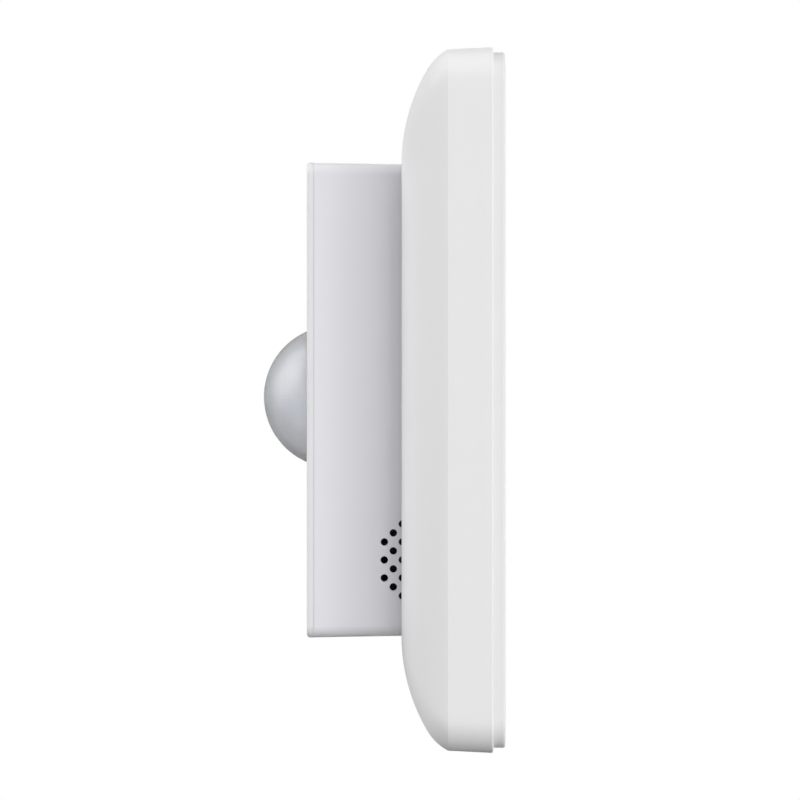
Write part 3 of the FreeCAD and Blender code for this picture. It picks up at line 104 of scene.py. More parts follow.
class Level:
    """A number from a node, which adds Math nodes when it is used in an expression."""

    def __init__(self, graph: "Graph", socket: bpy.types.NodeSocket) -> None:
        """Keep the tree and the socket."""
        self.graph = graph
        self.socket = socket

    def maths(self, operation: str, *others: "Level | float") -> "Level":
        """Return the result of one Math node on self and the others, in order."""
        return self.graph.maths(operation, self, *others)

    def __add__(self, other: "Level | float") -> "Level":
        """Return self + other."""
        return self.maths("ADD", other)

    def __radd__(self, other: float) -> "Level":
        """Return other + self."""
        return self.graph.maths("ADD", other, self)

    def __sub__(self, other: "Level | float") -> "Level":
        """Return self - other."""
        return self.maths("SUBTRACT", other)

    def __rsub__(self, other: float) -> "Level":
        """Return other - self."""
        return self.graph.maths("SUBTRACT", other, self)

    def __mul__(self, other: "Level | float") -> "Level":
        """Return self * other."""
        return self.maths("MULTIPLY", other)

    def __rmul__(self, other: float) -> "Level":
        """Return other * self."""
        return self.graph.maths("MULTIPLY", other, self)

    def __truediv__(self, other: "Level | float") -> "Level":
        """Return self / other."""
        return self.maths("DIVIDE", other)

    def __abs__(self) -> "Level":
        """Return the size of self."""
        return self.maths("ABSOLUTE")

    def __mod__(self, other: "Level | float") -> "Level":
        """Return what is left of self after whole steps of other."""
        return self.maths("FLOORED_MODULO", other)

    def step(self, low: float, high: float) -> "Level":
        """Return 0 below low, 1 above high and a smooth rise between them."""
        settings = {"interpolation_type": "SMOOTHSTEP"}
        return self.graph.node("ShaderNodeMapRange", settings, {0: self, 1: low, 2: high, 3: 0.0, 4: 1.0})


class Graph:
    """A node tree with one method that adds any node."""

    def __init__(self, tree: bpy.types.NodeTree) -> None:
        """Keep the tree and empty it."""
        self.tree = tree
        tree.nodes.clear()

    def node(
        self,
        kind: str,
        settings: Mapping[str, object] | None = None,
        sockets: Mapping[int | str, object] | None = None,
        output: int | str = 0,
    ) -> Level:
        """Add a node.

        Args:
            kind: The node's type.
            settings: Properties, set before any socket.
            sockets: Values or links of its inputs, by index or name; a list is several links.
            output: Which output to return.

        Returns:
            The chosen output.
        """
        made = self.tree.nodes.new(kind)
        for name, value in (settings or {}).items():
            setattr(made, name, value)
        for name, value in (sockets or {}).items():
            if isinstance(value, Level):
                self.tree.links.new(value.socket, made.inputs[name])
            elif isinstance(value, list):
                for part in reversed(value):
                    self.tree.links.new(part.socket, made.inputs[name])
            else:
                made.inputs[name].default_value = value
        return Level(self, made.outputs[output] if len(made.outputs) else None)

    def maths(self, operation: str, *values: Level | float) -> Level:
        """Return the result of one Math node on these values, in order."""
        return self.node("ShaderNodeMath", {"operation": operation}, dict(enumerate(values)))

    def split(self, vector: Level) -> tuple[Level, Level, Level]:
        """Return a vector's three numbers."""
        parts = self.node("ShaderNodeSeparateXYZ", None, {0: vector}).socket.node
        return tuple(Level(self, part) for part in parts.outputs)

    def place(self) -> Level:
        """Return the point on the object, in metres."""
        return self.node("ShaderNodeTexCoord", None, None, "Object")

    def mapped(self, shift: Point = (0, 0, 0), turn: Point = (0, 0, 0), scale: Point = (1, 1, 1)) -> Level:
        """Return the point on the object after a Mapping node.

        Args:
            shift: Added to the point, in metres.
            turn: Turn about each axis, in radians.
            scale: Stretch along each axis.

        Returns:
            The mapped point.
        """
        return self.node("ShaderNodeMapping", None, {"Vector": self.place(), 1: shift, 2: turn, 3: scale})

    def noise(self, place: Level, size: float, detail: float = 2.0) -> Level:
        """Return even noise from 0 to 1 whose features are about size metres across."""
        return self.node("ShaderNodeTexNoise", None, {"Vector": place, "Scale": 1.0 / size, "Detail": detail})

    def blend(self, share: Level, low: Colour | Level, high: Colour | Level) -> Level:
        """Return a colour between low and high, by share."""
        low, high = (c if isinstance(c, Level) else (*c, 1.0) for c in (low, high))
        return self.node("ShaderNodeMix", {"data_type": "RGBA"}, {0: share, 6: low, 7: high}, 2)

    def bump(self, height: Level, distance: float, strength: float = 1.0) -> Level:
        """Return the normal of a relief of this height, distance metres deep."""
        sockets = {"Strength": strength, "Distance": distance, "Height": height}
        return self.node("ShaderNodeBump", None, sockets)

    def surface(self, sockets: Mapping[int | str, object]) -> None:
        """End the tree in a Principled shader with these inputs."""
        shader = self.node("ShaderNodeBsdfPrincipled", None, sockets)
        self.node("ShaderNodeOutputMaterial", None, {"Surface": shader})


# ---------------------------------------------------------------- finishes


def shade(colour: Colour, share: float) -> Colour:
    """Return the colour made lighter or darker by share."""
    return tuple(min(1.0, part * share) for part in colour)


@dataclass(frozen=True)
class Finish:
    """What every finish has: the slot it dresses and its main colour."""

    slot: str
    colour: Colour
    roughness: float

    def material(self) -> bpy.types.Material:
        """Make the material on first use.

        Returns:
            This finish's material.
        """
        name = f"{self.slot}_finish"
        made = bpy.data.materials.get(name)
        if made is None:
            made = bpy.data.materials.new(name)
            made.use_nodes = True
            made.diffuse_color = (*self.colour, 1.0)
            self.paint(Graph(made.node_tree))
        return made

    def paint(self, graph: Graph) -> None:
        """Build the nodes of this finish in the tree."""
        raise NotImplementedError(type(self).__name__)


@dataclass(frozen=True)
class Moulded(Finish):
    """Moulded plastic or rubber: spark-eroded grain, slight flow marks and uneven gloss."""

    grain: float = 0.25 * MM
    relief: float = 0.004 * MM
    unevenness: float = 0.06
    mottle: float = 0.012
    flow: float = 14 * MM
    flow_share: float = 0.7
    speck: float = 1.6 * MM
    specular: float = 0.45
    depth: float = 0.0
    scatter: float = 0.6 * MM
    pattern: Pattern = Pattern.GRAIN

    def paint(self, graph: Graph) -> None:
        """Build grain, flow marks and uneven gloss.

        Args:
            graph: The material's empty tree.
        """
        place = graph.place()
        sockets = {"Vector": place, "Scale": 1.0 / self.grain}
        fine = graph.node(self.pattern.value, None, sockets)
        flow = graph.noise(graph.mapped(scale=(1.0, 0.35, 1.0)), self.flow, 3.0)
        speck = graph.noise(place, self.speck, 3.0)
        tone = flow * self.flow_share + speck * (1 - self.flow_share)
        colour = graph.blend(tone, shade(self.colour, 1 - self.mottle), shade(self.colour, 1 + self.mottle))
        graph.surface({
            "Base Color": colour,
            "Roughness": self.roughness + (tone - 0.5) * self.unevenness,
            "Normal": graph.bump(fine, self.relief),
            "Specular IOR Level": self.specular,
            "Subsurface Weight": self.depth,
            "Subsurface Radius": (1.0, 1.0, 1.1),
            "Subsurface Scale": self.scatter,
        })


@dataclass(frozen=True)
class MilkyLens(Finish):
    """Translucent polythene of a movement-sensor lens, with its rings of fine lens grooves."""

    centre: Point = (0.0, 0.0, 0.0)
    columns: int = 10
    tiers: int = 4
    rings: int = 6
    groove: float = 0.02 * MM
    tier_seam: tuple[float, float] = (0.470, 0.498)
    column_seam: tuple[float, float] = (0.485, 0.499)
    cap_edge: tuple[float, float] = (0.24, 0.26)
    cloud: float = 3.0 * MM
    clear: float = 0.67
    scatter: float = 1.0 * MM

    def paint(self, graph: Graph) -> None:
        """Build the lens segments, their grooves and the cloudy body.

        Args:
            graph: The material's empty tree.
        """
        shift = tuple(-part for part in self.centre)
        across, out, up = graph.split(graph.mapped(shift=shift))
        turn = up.maths("ARCTAN2", across) / math.tau
        reach = (across * across + up * up).maths("SQRT")
        lean = reach.maths("ARCTAN2", out * -1.0) / (math.pi / 2)
        tier = lean * float(self.tiers)
        column = turn * float(self.columns)
        tier_edge = abs(tier % 1.0 - 0.5).step(*self.tier_seam)
        column_edge = abs(column % 1.0 - 0.5).step(*self.column_seam) * lean.step(*self.cap_edge)
        edges = tier_edge.maths("MAXIMUM", column_edge)
        grooves = abs((tier * float(self.rings)) % 1.0 - 0.5)
        cloud = graph.noise(graph.place(), self.cloud, 2.0)
        body = graph.blend(cloud, shade(self.colour, 0.97), shade(self.colour, 1.02))
        colour = graph.blend(edges * 0.1, body, shade(self.colour, 0.8))
        graph.surface({
            "Base Color": colour,
            "Roughness": self.roughness + (cloud - 0.5) * 0.05,
            "Normal": graph.bump(1.0 - edges * 0.7 + grooves * 0.16, self.groove),
            "Specular IOR Level": 0.28,
            "Transmission Weight": self.clear,
            "IOR": 1.5,
            "Subsurface Weight": 1.0,
            "Subsurface Radius": (1.0, 1.05, 1.15),
            "Subsurface Scale": self.scatter,
        })


@dataclass(frozen=True)
class Glass(Finish):
    """Glass or glossy window plastic: polished, with faint wipe marks."""

    clear: float = 0.0
    ior: float = 1.5
    wipe: float = 1.2 * MM
    dust: float = 5 * MM
    relief: float = 0.0006 * MM

    def paint(self, graph: Graph) -> None:
        """Build a polished surface with faint wipe marks.

        Args:
            graph: The material's empty tree.
        """
        wipe = graph.noise(graph.mapped(turn=(0.0, 0.6, 0.0), scale=(0.2, 1.0, 1.0)), self.wipe, 3.0)
        dust = graph.noise(graph.place(), self.dust, 4.0)
        colour = graph.blend(dust, shade(self.colour, 0.95), shade(self.colour, 1.05))
        graph.surface({
            "Base Color": colour,
            "Roughness": self.roughness + wipe * 0.03,
            "Normal": graph.bump(wipe, self.relief),
            "Transmission Weight": self.clear,
            "IOR": self.ior,
        })


@dataclass(frozen=True)
class Metal(Finish):
    """Plated or rolled metal with fine rolling lines and dull patches."""

    lines: float = 0.05 * MM
    patch: float = 2.5 * MM
    relief: float = 0.003 * MM

    def paint(self, graph: Graph) -> None:
        """Build rolling lines and dull patches.

        Args:
            graph: The material's empty tree.
        """
        lines = graph.noise(graph.mapped(scale=(1.0, 1.0, 0.04)), self.lines, 2.0)
        patch = graph.noise(graph.place(), self.patch, 4.0)
        graph.surface({
            "Base Color": graph.blend(patch, shade(self.colour, 0.86), shade(self.colour, 1.06)),
            "Metallic": 1.0,
            "Roughness": self.roughness + (patch - 0.5) * 0.18 + (lines - 0.5) * 0.08,
            "Normal": graph.bump(lines, self.relief),
        })


@dataclass(frozen=True)
class Woven(Finish):
    """Fine black cloth thread with a slight sheen."""

    fibre: float = 0.04 * MM
    relief: float = 0.01 * MM

    def paint(self, graph: Graph) -> None:
        """Build thread fibres and a slight sheen.

        Args:
            graph: The material's empty tree.
        """
        fibre = graph.noise(graph.mapped(scale=(1.0, 1.0, 0.25)), self.fibre, 2.0)
        graph.surface({
            "Base Color": graph.blend(fibre, shade(self.colour, 0.7), shade(self.colour, 1.4)),
            "Roughness": self.roughness + (fibre - 0.5) * 0.1,
            "Normal": graph.bump(fibre, self.relief),
            "Sheen Weight": 0.2,
        })


@dataclass(frozen=True)
class Board(Finish):
    """Solder mask over copper tracks, with bare pads here and there."""

    track: float = 1.27 * MM
    bend: float = 9 * MM
    sway: float = 4 * MM
    patch: float = 6 * MM
    pad_pitch: float = 2.4 * MM
    pad_colour: Colour = (0.78, 0.62, 0.36)
    track_edge: tuple[float, float] = (0.22, 0.27)
    relief: float = 0.03 * MM

    def paint(self, graph: Graph) -> None:
        """Build raised tracks, round vias and the mask's colour over them.

        Args:
            graph: The material's empty tree.
        """
        across, _, up = graph.split(graph.place())
        wander = graph.noise(graph.place(), self.bend, 1.0) * self.sway
        runs = abs(((across + wander) / self.track) % 1.0 - 0.5).step(*self.track_edge)
        crossing = abs(((up + wander) / self.track) % 1.0 - 0.5).step(*self.track_edge)
        patch = graph.noise(graph.place(), self.patch, 0.0).step(0.49, 0.51)
        copper = runs * patch + crossing * (1.0 - patch)
        flat = graph.mapped(scale=(1.0, 0.0, 1.0))
        sockets = {"Vector": flat, "Scale": 1.0 / self.pad_pitch, "Randomness": 0.6}
        dots = graph.node("ShaderNodeTexVoronoi", None, sockets)
        pads = 1.0 - dots.step(0.09, 0.12)
        mask = graph.blend(copper, shade(self.colour, 0.8), shade(self.colour, 1.5))
        graph.surface({
            "Base Color": graph.blend(pads, mask, self.pad_colour),
            "Metallic": pads,
            "Roughness": self.roughness + pads * 0.08,
            "Normal": graph.bump(copper + pads * 0.4, self.relief),
            "Coat Weight": 0.3,
        })


@dataclass(frozen=True)
class Film(Finish):
    """Flat flexible film with its conductors showing through."""

    pitch: float = 0.5 * MM
    cloud: float = 1.5 * MM
    relief: float = 0.02 * MM

    def paint(self, graph: Graph) -> None:
        """Build the row of conductors under the film.

        Args:
            graph: The material's empty tree.
        """
        _, _, up = graph.split(graph.place())
        rows = abs((up / self.pitch) % 1.0 - 0.5).step(0.18, 0.26)
        cloud = graph.noise(graph.place(), self.cloud, 2.0)
        colour = graph.blend(rows, shade(self.colour, 0.55), self.colour)
        graph.surface({
            "Base Color": graph.blend(cloud * 0.2, colour, shade(self.colour, 0.7)),
            "Roughness": self.roughness + cloud * 0.1,
            "Normal": graph.bump(rows, self.relief),
        })


LENS_CENTRE = (0.0, -19.77 * MM, 0.39 * MM)   # middle of the dome's pattern of segments
WHITE = (0.838, 0.837, 0.845)
HOUSING_WHITE = (0.850, 0.842, 0.878)
FINISHES: dict[str, Finish] = {
    finish.slot: finish
    for finish in (
        Moulded("plate_plastic", (0.81, 0.81, 0.817), 0.5, grain=0.35 * MM, relief=0.006 * MM),
        Moulded("frame_plastic", WHITE, 0.5, grain=0.3 * MM, relief=0.002 * MM, specular=0.3),
        Moulded("housing_plastic", HOUSING_WHITE, 0.45, grain=0.2 * MM, relief=0.004 * MM, specular=0.35),
        Moulded("fascia_plastic", (0.845, 0.84, 0.862), 0.38, grain=0.3 * MM, relief=0.002 * MM),
        Moulded("button_plastic", (0.78, 0.78, 0.79), 0.36, grain=0.25 * MM, relief=0.003 * MM),
        MilkyLens("milky_lens", (0.875, 0.892, 0.93), 0.22, centre=LENS_CENTRE),
        Moulded("light_guide", (0.86, 0.88, 0.9), 0.45, relief=0.003 * MM, depth=0.6),
        Glass("dark_glass", (0.17, 0.17, 0.185), 0.05, clear=0.75),
        Glass("clear_glass", (0.9, 0.93, 0.95), 0.02, clear=1.0),
        Moulded("black_plastic", (0.018, 0.018, 0.02), 0.45, mottle=0.1, relief=0.006 * MM),
        Moulded("terminal_plastic", (0.07, 0.075, 0.08), 0.5, mottle=0.08, relief=0.006 * MM),
        Moulded("black_rubber", (0.015, 0.015, 0.016), 0.75, grain=0.12 * MM, mottle=0.15),
        Moulded(
            "black_foam", (0.02, 0.02, 0.021), 0.95, grain=0.35 * MM, relief=0.08 * MM, mottle=0.25,
            specular=0.1, pattern=Pattern.CELLS,
        ),
        Woven("mesh_cloth", (0.036, 0.034, 0.039), 0.8),
        Metal("brass", (0.72, 0.52, 0.25), 0.3),
        Metal("steel", (0.6, 0.6, 0.61), 0.32),
        Metal("capacitor_can", (0.68, 0.69, 0.7), 0.28, lines=0.12 * MM),
        Moulded("ferrite", (0.035, 0.034, 0.036), 0.7, grain=0.18 * MM, relief=0.02 * MM, mottle=0.2),
        Moulded("chip_black", (0.02, 0.02, 0.022), 0.55, grain=0.1 * MM, relief=0.006 * MM, mottle=0.12),
        Moulded("lamp_resin", (0.75, 0.7, 0.45), 0.25, relief=0.002 * MM, depth=0.5),
        Board("board_green", (0.01, 0.09, 0.035), 0.35),
        Film("ribbon_film", (0.7, 0.62, 0.42), 0.4),
        Moulded("cone_film", (0.05, 0.05, 0.055), 0.6, grain=0.5 * MM, relief=0.01 * MM, mottle=0.15),
    )
}


# ---------------------------------------------------------------- mesh helpers


def new_piece(name: str, points: Sequence[Point], faces: Sequence[Sequence[int]]) -> bpy.types.Object:
    """Make a closed mesh piece.

    Args:
        name: The piece's name.
        points: Corner points in metres.
        faces: Corner numbers of each face.

    Returns:
        The object, at the origin, smooth, with its faces turned outwards.
    """
    mesh = bpy.data.meshes.new(name)
    mesh.from_pydata(points, [], faces)
    form = bmesh.new()
    form.from_mesh(mesh)
    bmesh.ops.remove_doubles(form, verts=form.verts, dist=SAME_PLACE)
    bmesh.ops.recalc_face_normals(form, faces=form.faces)
    for face in form.faces:
        face.smooth = True
    form.to_mesh(mesh)
    form.free()
    piece = bpy.data.objects.new(name, mesh)
    bpy.context.scene.collection.objects.link(piece)
    return piece


def sharpen(piece: bpy.types.Object, angle: float) -> None:
    """Mark edges that turn by more than angle, in degrees, as sharp."""
    piece.data.set_sharp_from_angle(angle=math.radians(angle))


def dress(piece: bpy.types.Object, slot: str) -> None:
    """Give a new piece the finish of a material slot.

    Args:
        piece: The piece.
        slot: The slot's name in the record.
    """
    piece.data.materials.clear()
    piece.data.materials.append(FINISHES[slot].material())


def settle(piece: bpy.types.Object, body: Body, slot: str, *nodes: str) -> None:
    """Finish a piece.

    Args:
        piece: The piece, in place.
        body: The body it rides on.
        slot: The material slot it takes its finish from.
        *nodes: CAD nodes that it stands for.
    """
    dress(piece, slot)
    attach(piece, body.value)
    if nodes:
        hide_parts(*nodes)
    log.info("%s: %d faces on %s", piece.name, len(piece.data.polygons), body.value)


SIDE_STATIONS = (0.03, 0.2, 0.5, 0.8, 0.97)   # where points stand along each straight side


def rounded_square(half: float, corner: float, arc_steps: int = 12) -> list[tuple[float, float]]:
    """Return points round a rounded square.

    Args:
        half: Half its width.
        corner: Its corner radius.
        arc_steps: Steps round each corner.

    Returns:
        The points, in order, the same number for any size.
    """
    points = []
    flat = half - corner
    for quarter in range(4):
        turn = quarter * math.pi / 2
        for step in range(arc_steps + 1):
            angle = turn + step * math.pi / 2 / arc_steps
            middle = turn + math.pi / 4
            x = flat * math.copysign(1, math.cos(middle)) + corner * math.cos(angle)
            z = flat * math.copysign(1, math.sin(middle)) + corner * math.sin(angle)
            points.append((x, z))
        start = points[-1]
        angle = turn + math.pi / 2
        along = Vector((-math.sin(angle), math.cos(angle)))
        for share in SIDE_STATIONS:
            offset = along * (2 * flat * share)
            points.append((start[0] + offset.x, start[1] + offset.y))
    return points


def loft(name: str, rings: Sequence[Sequence[Point]]) -> bpy.types.Object:
    """Join rings into a closed tube whose last ring meets its first.

    Args:
        name: The piece's name.
        rings: Rings of points, with the same number of points in each.

    Returns:
        The piece.
    """
    count = len(rings[0])
    points = [point for ring in rings for point in ring]
    faces = []
    for row in range(len(rings)):
        after = (row + 1) % len(rings)
        for column in range(count):
            beside = (column + 1) % count
            faces.append((
                row * count + column, row * count + beside, after * count + beside, after * count + column,
            ))
    return new_piece(name, points, faces)


# ---------------------------------------------------------------- grown pieces


class Recipe:
    """A geometry node tree with named inputs, which grows a piece."""

    def __init__(self, name: str, inputs: Mapping[str, str]) -> None:
        """Start the tree.

        Args:
            name: The tree's name.
            inputs: The type of each input, by its name.
        """
        self.tree = bpy.data.node_groups.new(name, "GeometryNodeTree")
        self.tree.interface.new_socket("Geometry", in_out="OUTPUT", socket_type="NodeSocketGeometry")
        for label, kind in {"Geometry": "NodeSocketGeometry", **inputs}.items():
            self.tree.interface.new_socket(label, in_out="INPUT", socket_type=kind)
        self.graph = Graph(self.tree)
        entry = self.graph.node("NodeGroupInput").socket.node
        self.inputs = {socket.name: Level(self.graph, socket) for socket in entry.outputs if socket.name}

    def close(self, geometry: Level) -> None:
        """End the tree in real meshes with the material of the Material input.

        Args:
            geometry: What the tree has made.
        """
        whole = self.graph.node("GeometryNodeRealizeInstances", None, {"Geometry": geometry})
        sockets = {"Geometry": whole, "Material": self.inputs["Material"]}
        dressed = self.graph.node("GeometryNodeSetMaterial", None, sockets)
        self.graph.node("NodeGroupOutput", None, {"Geometry": dressed})

    def grow(self, name: str, values: Mapping[str, object], seeds: Sequence[Point] = ()) -> bpy.types.Object:
        """Run the tree.

        Args:
            name: The piece's name.
            values: The value of each input, by its name.
            seeds: Points that the tree starts from, where it needs them.

        Returns:
            The result as a plain mesh piece at the origin.
        """
        seedbed = bpy.data.meshes.new(name)
        seedbed.from_pydata(list(seeds), [], [])
        piece = bpy.data.objects.new(name, seedbed)
        bpy.context.scene.collection.objects.link(piece)
        modifier = piece.modifiers.new(name, "NODES")
        modifier.node_group = self.tree
        for item in self.tree.interface.items_tree:
            if item.in_out == "INPUT" and item.name in values:
                modifier[item.identifier] = values[item.name]
        graph = bpy.context.evaluated_depsgraph_get()
        grown = bpy.data.meshes.new_from_object(piece.evaluated_get(graph))
        piece.modifiers.remove(modifier)
        piece.data = grown
        return piece


@dataclass(frozen=True)
class SoundCloth:
    """Plain-woven cloth behind the sound holes."""

    pitch: float = 0.24 * MM
    thread: float = 0.055 * MM
    swing: float = 0.042 * MM

    def recipe(self) -> Recipe:
        """Build the tree that weaves a panel in the plane of its second and third axes.

        Returns:
            The tree.
        """
        sizes = ("Width", "Tall", "Pitch", "Thread radius", "Swing")
        inputs = {**dict.fromkeys(sizes, "NodeSocketFloat"), "Material": "NodeSocketMaterial"}
        recipe = Recipe("plain_weave", inputs)
        width, tall, pitch = (recipe.inputs[name] for name in sizes[:3])
        sets = []
        for odd in (0, 1):
            sets.append(self.threads(recipe, tall, width, pitch, upright=True, odd=odd))
            sets.append(self.threads(recipe, width, tall, pitch, upright=False, odd=odd))
        recipe.close(recipe.graph.node("GeometryNodeJoinGeometry", None, {"Geometry": sets}))
        return recipe

    def threads(
        self, recipe: Recipe, length: Level, spread: Level, pitch: Level, upright: bool, odd: int
    ) -> Level:
        """Add every second thread of one direction.

        Args:
            recipe: The tree.
            length: Length of a thread.
            spread: How far the threads spread sideways.
            pitch: Distance between neighbours.
            upright: True for threads along the third axis, False for the second.
            odd: 1 for the odd threads, 0 for the even ones.

        Returns:
            The threads as instances.
        """
        graph = recipe.graph
        end = {2: length} if upright else {1: length}
        line = graph.node("GeometryNodeCurvePrimitiveLine", None, {
            "Start": (0.0, 0.0, 0.0), "End": graph.node("ShaderNodeCombineXYZ", None, end),
        })
        count = (length / pitch * 2.0).maths("ROUND") + 1.0
        line = graph.node("GeometryNodeResampleCurve", None, {"Curve": line, "Count": count})
        _, across, up = graph.split(graph.node("GeometryNodeInputPosition"))
        run = up if upright else across
        wave = (run / pitch * math.pi).maths("COSINE")
        sign = (1.0 if upright else -1.0) * (-1.0 if odd else 1.0)
        sway = graph.node("ShaderNodeCombineXYZ", None, {0: wave * recipe.inputs["Swing"] * sign})
        line = graph.node("GeometryNodeSetPosition", None, {"Geometry": line, "Offset": sway})
        ring = {"Resolution": 4, "Radius": recipe.inputs["Thread radius"]}
        profile = graph.node("GeometryNodeCurvePrimitiveCircle", None, ring)
        sockets = {"Curve": line, "Profile Curve": profile, "Fill Caps": True}
        thread = graph.node("GeometryNodeCurveToMesh", None, sockets)
        step = graph.node("ShaderNodeCombineXYZ", None, {1 if upright else 2: pitch * 2.0})
        first = graph.node("ShaderNodeCombineXYZ", None, {1 if upright else 2: pitch * float(odd)})
        number = ((spread / pitch - float(odd)) / 2.0).maths("FLOOR") + 1.0
        sockets = {"Count": number, "Start Location": first, "Offset": step}
        row = graph.node("GeometryNodeMeshLine", None, sockets)
        return graph.node("GeometryNodeInstanceOnPoints", None, {"Points": row, "Instance": thread})

    def build(self) -> None:
        """Build both panels in place of their CAD nodes."""
        recipe = self.recipe()
        edge = self.thread * 1.1
        for side in ("right", "left"):
            node = f"sound_mesh_{side}"
            low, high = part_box(node)
            piece = recipe.grow(f"sound_cloth_{side}", {
                "Width": high.y - low.y - 2 * edge,
                "Tall": high.z - low.z - 2 * edge,
                "Pitch": self.pitch,
                "Thread radius": self.thread,
                "Swing": self.swing,
                "Material": FINISHES["mesh_cloth"].material(),
            })
            corner = Vector(((low.x + high.x) / 2, low.y + edge, low.z + edge))
            piece.data.transform(Matrix.Translation(corner))
            settle(piece, Body.HEAD, "mesh_cloth", node)


@dataclass(frozen=True)
class ChipParts:
    """Small resistors and capacitors in the free places on the boards.

    Lift and board_reach are shares of a part's height and length; clearance is kept to other nodes.
    """

    long: float = 1.0 * MM
    wide: float = 0.5 * MM
    high: float = 0.36 * MM
    cap: float = 0.22 * MM
    bevel: float = 0.035 * MM
    cap_overlap: float = 0.1
    lift: float = 0.52
    board_reach: float = 0.6
    pitch: float = 1.75 * MM
    clearance: float = 0.85 * MM
    share: float = 0.45
    seed: int = 11

    def recipe(self) -> Recipe:
        """Build the tree that puts a part on each seed point, upright or turned by chance.

        Returns:
            The tree.
        """
        inputs = {"Part": "NodeSocketObject", "Seed": "NodeSocketInt", "Material": "NodeSocketMaterial"}
        recipe = Recipe("placed_parts", inputs)
        graph = recipe.graph
        part = graph.node("GeometryNodeObjectInfo", None, {"Object": recipe.inputs["Part"]}, "Geometry")
        chance = graph.node(
            "FunctionNodeRandomValue", {"data_type": "INT"}, {4: 0, 5: 1, "Seed": recipe.inputs["Seed"]}, 2
        )
        turn = graph.node("ShaderNodeCombineXYZ", None, {1: chance * (math.pi / 2)})
        sockets = {"Points": recipe.inputs["Geometry"], "Instance": part, "Rotation": turn}
        recipe.close(graph.node("GeometryNodeInstanceOnPoints", None, sockets))
        return recipe

    def block(self, name: str, spans: Sequence[tuple[float, float]]) -> bpy.types.Object:
        """Make a part of bevelled blocks.

        Args:
            name: The part's name.
            spans: Where each block starts and stops along the part.

        Returns:
            The part, which isn't in the scene.
        """
        form = bmesh.new()
        for start, stop in spans:
            size = Vector((stop - start, self.high, self.wide))
            made = bmesh.ops.create_cube(form, size=1.0)
            middle = Matrix.Translation(((start + stop) / 2, 0.0, 0.0))
            bmesh.ops.transform(form, matrix=middle @ Matrix.Diagonal((*size, 1.0)), verts=made["verts"])
        bmesh.ops.bevel(form, geom=list(form.edges), offset=self.bevel, segments=1, affect="EDGES")
        mesh = bpy.data.meshes.new(name)
        form.to_mesh(mesh)
        form.free()
        return bpy.data.objects.new(name, mesh)

    def free_places(self, board: str, front: bool, trees: Mapping[str, BVHTree]) -> list[Point]:
        """Find where a part fits on one face of a board.

        Args:
            board: The board's node.
            front: True for the face away from the wall.
            trees: A search tree of each CAD node.

        Returns:
            Middles of the parts that fit.
        """
        low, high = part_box(board)
        out = -1.0 if front else 1.0
        face = low.y if front else high.y
        chance = random.Random(self.seed)
        places = []
        level = face + out * self.high * self.lift
        for row in range(int((high.z - low.z) / self.pitch)):
            for column in range(int((high.x - low.x) / self.pitch)):
                middle = Vector((
                    low.x + (column + 0.5) * self.pitch, level, low.z + (row + 0.5) * self.pitch,
                ))
                keep = chance.random() < self.share
                clear = all(
                    tree.find_nearest(middle, self.clearance)[0] is None
                    for name, tree in trees.items() if name != board
                )
                if keep and clear and self.on_board(middle, out, trees[board]):
                    places.append(tuple(middle))
        return places

    def on_board(self, middle: Vector, out: float, tree: BVHTree) -> bool:
        """Test whether the board is under every corner of a part.

        Args:
            middle: The part's middle.
            out: Direction out of the board's face along the second axis, 1 or -1.
            tree: The board's search tree.

        Returns:
            True where the board is under all of it.
        """
        reach = self.long * self.board_reach
        for side, up in ((-1, -1), (1, -1), (1, 1), (-1, 1)):
            start = middle + Vector((side * reach, 0.0, up * reach))
            if tree.ray_cast(start, Vector((0.0, -out, 0.0)), self.high)[0] is None:
                return False
        return True

    def build(self) -> None:
        """Build the parts of both boards: bodies and tinned ends."""
        trees = {}
        for name, node in frame["nodes"].items():
            corners = [vertex.co for vertex in node.data.vertices]
            trees[name] = BVHTree.FromPolygons(corners, [face.vertices for face in node.data.polygons])
        half, cap = self.long / 2, self.cap
        tucked = cap * (1 - self.cap_overlap)
        body = self.block("part_body", [(tucked - half, half - tucked)])
        ends = self.block("part_ends", [(-half, cap - half), (half - cap, half)])
        recipe = self.recipe()
        faces = (("main_board", True), ("main_board", False), ("front_board", True), ("front_board", False))
        for board, front in faces:
            places = self.free_places(board, front, trees)
            side = "front" if front else "rear"
            for label, part, slot in (("bodies", body, "chip_black"), ("ends", ends, "steel")):
                values = {"Part": part, "Seed": self.seed, "Material": FINISHES[slot].material()}
                piece = recipe.grow(f"{board}_{side}_part_{label}", values, places)
                settle(piece, Body.HEAD, slot)
        for part in (body, ends):
            bpy.data.objects.remove(part)


# ---------------------------------------------------------------- wall frame


